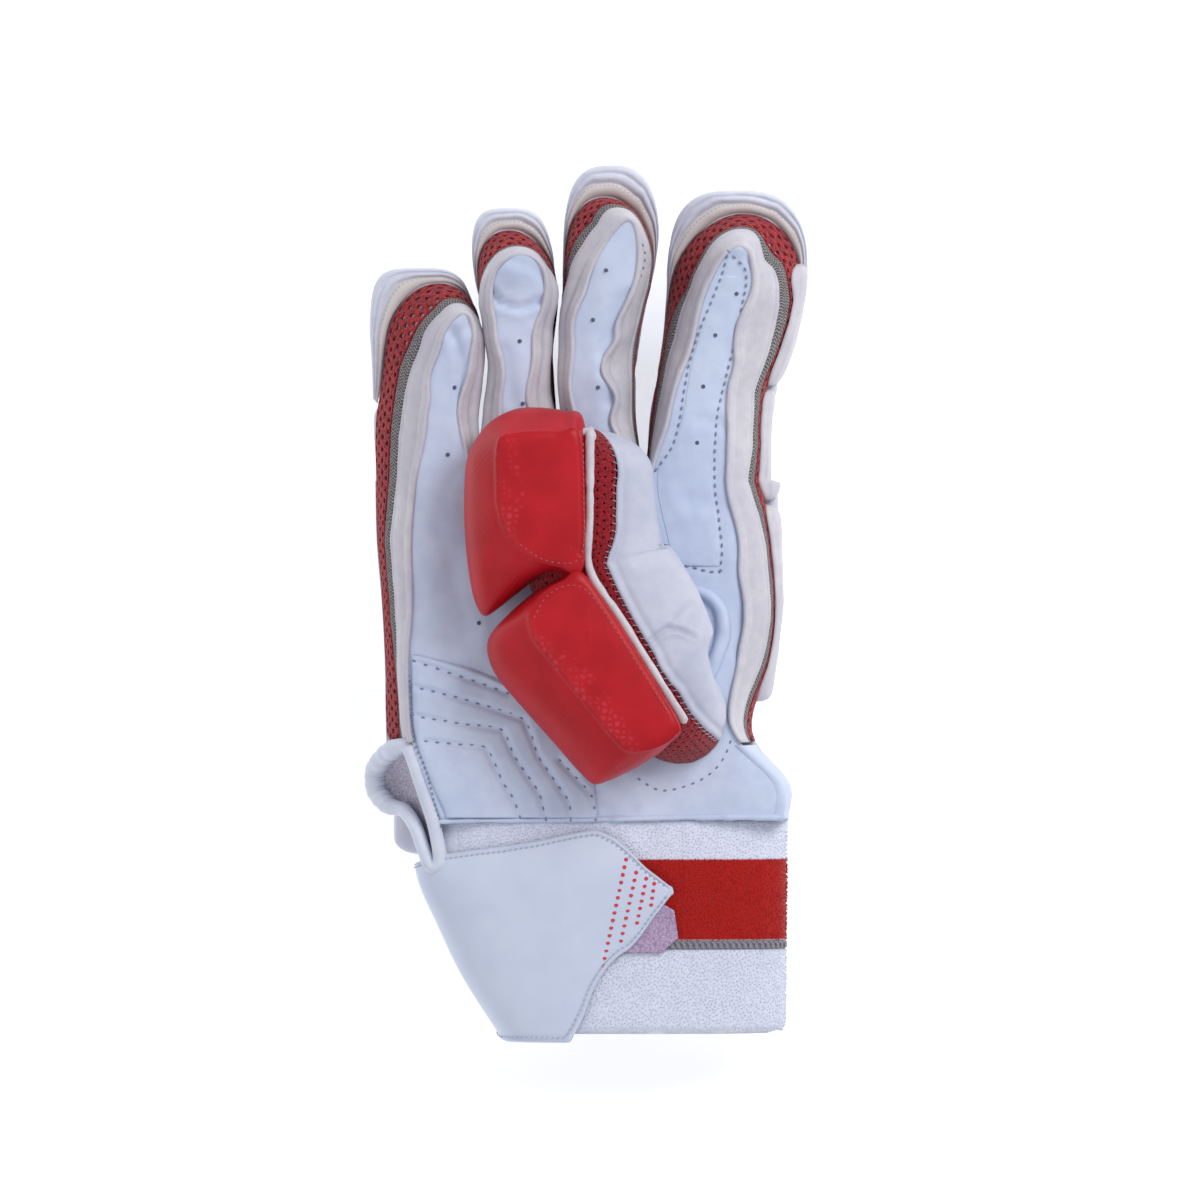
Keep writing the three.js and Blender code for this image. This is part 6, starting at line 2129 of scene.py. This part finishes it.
def strap_place(i_share, share, grow):
    """A point of the strap: a share along its turns, a share across it and mm above the cuff."""
    at = np.interp(i_share, np.linspace(0, 1, len(strap_turns)), np.arange(len(strap_turns)))
    index = np.arange(len(strap_turns))
    turn, top, bottom = (np.interp(at, index, values) for values in (strap_turns, strap_top, strap_bottom))
    return cuff_place(turn, lerp(top, bottom, share), grow)


shares = np.concatenate([[0, 0.004, 0.012, 0.024, 0.036, 0.05, 0.07], np.linspace(0.1, 0.9, 30)])
shares = np.concatenate([shares, 1 - shares[:7][::-1]])
i_share = np.linspace(0, 1, 240)
here, across = np.meshgrid(i_share, shares, indexing="ij")
wide = (strap_bottom - strap_top)[:, None] * CUFF_LENGTH
from_tip = (strap_run[-1] - strap_run)[:, None]
border = np.minimum(np.minimum(across, 1 - across) * wide, from_tip)
rim = 0.4 * np.exp(-((border - 0.8) / 0.45) ** 2) - 0.4 * np.exp(-((border - 1.75) / 0.35) ** 2)
round_over = np.sqrt(ease(border, -0.5, 0.9))
belly = 0.5 * np.sin(np.pi * across) + 0.3 * ripple(here * 180, across * 60, 26, 30, 111)
top_height = STRAP_LOW + STRAP_THICKNESS * (0.25 + 0.75 * round_over) + rim + belly
upper = strap_place(here, across, top_height)
lower = strap_place(here, across, STRAP_LOW + 0 * here)
sections = np.concatenate([upper, lower[:, ::-1]], axis=1)
strap = shell("strap_body", sections, strap_finish)
dress(strap, "strap", "strap")

inset_stitches = []
for edge in (0, 1):
    inset = np.minimum(1.75 / np.maximum(wide[:, 0], 4), 0.4)
    across_at = inset if edge == 0 else 1 - inset
    inset_stitches.append(strap_place(i_share[4:-6], across_at[4:-6], STRAP_LOW + STRAP_THICKNESS + 0.28))
strap_thread = thread_along("thread_strap", inset_stitches, strap_thread_finish, 1.9, 1.2, 0.5)
dress(strap_thread, "strap")

# %% Printed dots
# first and last dot of each row in the photograph, and how many it has
DOT_ROWS = [((626, 859), (603, 965), 15), ((636, 872), (621, 940), 10), ((646, 878), (637, 922), 7),
            ((654, 883), (651, 904), 4)]
surface = upper.reshape(-1, 3)
on_top = surface[surface[:, 2] > 30]
dots = []
for first, last, count in DOT_ROWS:
    ends = photo(first, last)
    step = 1e-6 + np.linalg.norm(np.diff(ends, axis=0)) / (count - 0.5)
    for x, y in along_line(ends, step)[:count]:
        near = np.argsort(np.hypot(on_top[:, 0] - x, on_top[:, 1] - y))[:4]
        dots.append([x, y, on_top[near, 2].mean() + 0.02])
dress(dots_on("strap_dots", dots, dot_finish, 1.55, 0.16), "strap")
print("strap faces", len(strap.data.polygons), "dots", len(dots))

# %% [markdown]
# Under the tip the hook tape shows as a small field of lilac hooks.

# %% Hook tape
HOOK_ROWS = table("turn top bottom", [
    [66, 0.36, 0.62], [84, 0.36, 0.62], [98, 0.36, 0.62], [104, 0.42, 0.55],
])
hook_turns = even_turns(66, 104, 60)
hook_top = np.interp(hook_turns, HOOK_ROWS["turn"], HOOK_ROWS["top"])
hook_bottom = np.interp(hook_turns, HOOK_ROWS["turn"], HOOK_ROWS["bottom"])
across = np.linspace(0, 1, 26)
down = lerp(hook_top[:, None], hook_bottom[:, None], across[None, :])
height = GAP + HOOK_THICKNESS + 0.06 * ripple(hook_turns[:, None] * 2, across[None, :] * 40, 3, 3, 113)
upper_hook = cuff_place(hook_turns[:, None], down, height)
lower_hook = cuff_place(hook_turns[:, None], down, GAP)
hook = shell("hook_tape", np.concatenate([upper_hook, lower_hook[:, ::-1]], axis=1), hook_finish)
dress(hook, "hook", "hook_patch")

# %% [markdown]
# ## The side of the wrist
#
# Below the index finger's strips one piece of leather wraps the side of the wrist. It is one with
# the palm's leather in the photograph, so its inner edge is tucked over the palm's, and two long
# folds run down it where it turns the corner.

# %% Wrist side
WRIST_PROFILE = [
    (0.07, -4.2), (0.018, -4.0), (-0.004, -3.0), (-0.016, -1.8), (-0.014, -0.8), (0.004, 0.0), (0.05, 0.4),
    (0.12, 0.55), (0.25, 0.6), (0.45, 0.55), (0.65, 0.4), (0.82, 0.2), (0.94, -0.1), (0.985, -0.6),
    (0.985, -1.4), (0.8, -1.6), (0.4, -1.6), (0.12, -1.7),
]
wrist = Wall("index", 1.0)
from_end = wrist.run[-1] - wrist.run[-90:]
wrist_from = wrist.run[-1] - np.interp(WALL_END * PALM_LENGTH, -wrist.face[-90:, 1], from_end)
at = np.linspace(wrist_from + 0.3, wrist.run[-1], 50)
share, out = np.array(WRIST_PROFILE).T
here, shares = np.meshgrid(at, share, indexing="ij")
folds = 0.45 * np.sin(shares * 26 + 0.09 * (here - wrist_from))
folds = folds * ease(shares, 0.0, 0.12) * (1 - ease(shares, 0.55, 0.8))
puff = 0.35 * ripple(here, shares * 30, 9, 8, 121)
outs = out[None, :] + (folds + puff) * (out[None, :] > -1.0)
dress(shell("wrist_wrap", wrist.place(here, shares, outs), palm_finish), "leather", "wrist_side")

# %% [markdown]
# ## The wrist slit
#
# On the little finger's side the wrist is open down to the cuff, so that the hand can pass. A roll
# of leather binds the opening's edge. It is turned round a tight bend at the top, so its leather
# gathers into pleats there, and towelling shows inside.

# %% Binding of the slit
# places in the photograph, and heights from the wall's foot, at 0, to the palm, at 1
BINDING_ROUTE = [
    (406, 746, 0.97), (415, 765, 1), (424, 792, 1), (434, 824, 1.03), (440, 859, 0.95), (430, 865, 0.88),
    (416, 828, 0.85), (404, 811, 0.55), (388, 806, 0.3), (376, 792, 0.12), (375, 771, 0.15), (388, 753, 0.55),
]
route = []
for column, row, level in BINDING_ROUTE:
    x, y = photo((column, row))[0]
    route.append([x, y, lerp(WALL_FOOT + BINDING_RADIUS + GAP, PALM_TOP - BINDING_RADIUS, level)])
PER_ROW = 18  # points from one row of the route to the next
loop_line = closed_curve(np.array(route), PER_ROW)
ahead = np.roll(loop_line, -1, axis=0) - np.roll(loop_line, 1, axis=0)
ahead /= np.linalg.norm(ahead, axis=1, keepdims=True)
heart = loop_line.mean(axis=0)
inwards = heart - loop_line
inwards -= ahead * np.einsum("ij,ij->i", inwards, ahead)[:, None]
inwards /= np.linalg.norm(inwards, axis=1, keepdims=True)
above = np.cross(inwards, ahead)
sides = 20
turn = np.linspace(0, 2 * np.pi, sides, endpoint=False)
at = np.arange(len(loop_line))
# the pleated stretch
bend = ease(at, 7.0 * PER_ROW, 8.6 * PER_ROW) * (1 - ease(at, 11.2 * PER_ROW, 12 * PER_ROW))
pleats = np.sin(at / PER_ROW * 2 * np.pi * 2.6 + 1.5 * ripple(at, at * 0, 9, 9, 131))
thick = BINDING_RADIUS * (1.05 + 0.5 * bend + 0.06 * ripple(at, at * 0, 14, 9, 132))
ring = inwards[:, None] * np.cos(turn)[None, :, None] + above[:, None] * np.sin(turn)[None, :, None]
inner_side = np.clip(np.cos(turn), 0, 1)[None, :] ** 0.7
radius = thick[:, None] + (0.34 * pleats * bend)[:, None] * (0.35 + 0.65 * inner_side)
binding = hoop("slit_roll", loop_line[:, None] + ring * radius[..., None], binding_finish)
dress(binding, "leather", "slit_binding")

shares = np.linspace(0.02, 1, 12)
inner_line = loop_line + inwards * 1.0
web = heart + (inner_line[:, None] - heart) * shares[None, :, None]
web[..., 2] -= 7.0 * (1 - shares[None, :] ** 2)
web[..., 2] += 0.7 * ripple(web[..., 0], web[..., 1], 2.6, 3.4, 133)
rings, count = web.shape[:2]
last = (rings - 1) * count
faces = grid_quads(rings, count).tolist() + [[last + i, last + i + 1, i + 1, i] for i in range(count - 1)]
towel = make("slit_towelling", web.reshape(-1, 3), faces, towel_finish, closed=False)
dress(thicken(face_away(towel, heart - [0, 0, 40]), 0.6), "lining")
print("binding faces", len(binding.data.polygons))

# %% [markdown]
# ## Studio
#
# The photograph is a catalogue shot from straight above, in soft light on a pure white ground. A
# bright surround does most of the lighting. One large lamp beyond the fingers, to the right, models
# the forms: it leaves the thumb guards' left bevels dark, as in the photograph. The floor glows a
# little, like a light table, so that it stays white close to the glove.

# %% Floor and lights
bpy.context.scene.view_settings.view_transform = "Standard"
floor_finish = Finish("floor", Roughness=0.9, Emission_Strength=0.42)
floor_finish.color(linear(250, 250, 250))
floor_finish.shader.inputs["Emission Color"].default_value = (1, 1, 1, 1)
bpy.ops.mesh.primitive_plane_add(size=8)
floor = bpy.context.object
floor.name = "floor"
floor.data.materials.append(floor_finish.material)
floor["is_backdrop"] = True

world = bpy.data.worlds.new("studio")
bpy.context.scene.world = world
world.use_nodes = True
world.node_tree.nodes["Background"].inputs["Color"].default_value = linear(246, 248, 255)
world.node_tree.nodes["Background"].inputs["Strength"].default_value = 0.58


def softbox(name, place, aim, size, power):
    light = bpy.data.lights.new(name, "AREA")
    light.shape = "DISK"
    light.size = size
    light.energy = power
    obj = show(name, light)
    obj.location = place
    obj.rotation_euler = (Vector(aim) - Vector(place)).to_track_quat("-Z", "Y").to_euler()


softbox("key", (0.8, 0.8, 1.1), (0, 0, 0), 0.7, 12)
softbox("fill", (-0.9, -0.4, 1.3), (0, 0, 0), 1.0, 3)

# %% Camera
FRAME_MM = 414.0
CAMERA_HEIGHT = 4.0
SHARP_LEVEL = 0.04
camera = bpy.data.cameras.new("camera")
camera.sensor_width = 36
camera.lens = 36 * (CAMERA_HEIGHT - SHARP_LEVEL) / (FRAME_MM / 1000)
camera.clip_end = 20
camera_obj = show("camera", camera)
centre = np.array([*photo((600, 600))[0], 0]) + SHIFT
camera_obj.location = (centre[0] / 1000, centre[1] / 1000, CAMERA_HEIGHT)
bpy.context.scene.camera = camera_obj

# %% Sizes, and the end
low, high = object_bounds()
for obj in bpy.data.objects:
    if obj.type == "MESH" and len(obj.data.polygons) > 30000:
        print("heavy", obj.name, len(obj.data.polygons))
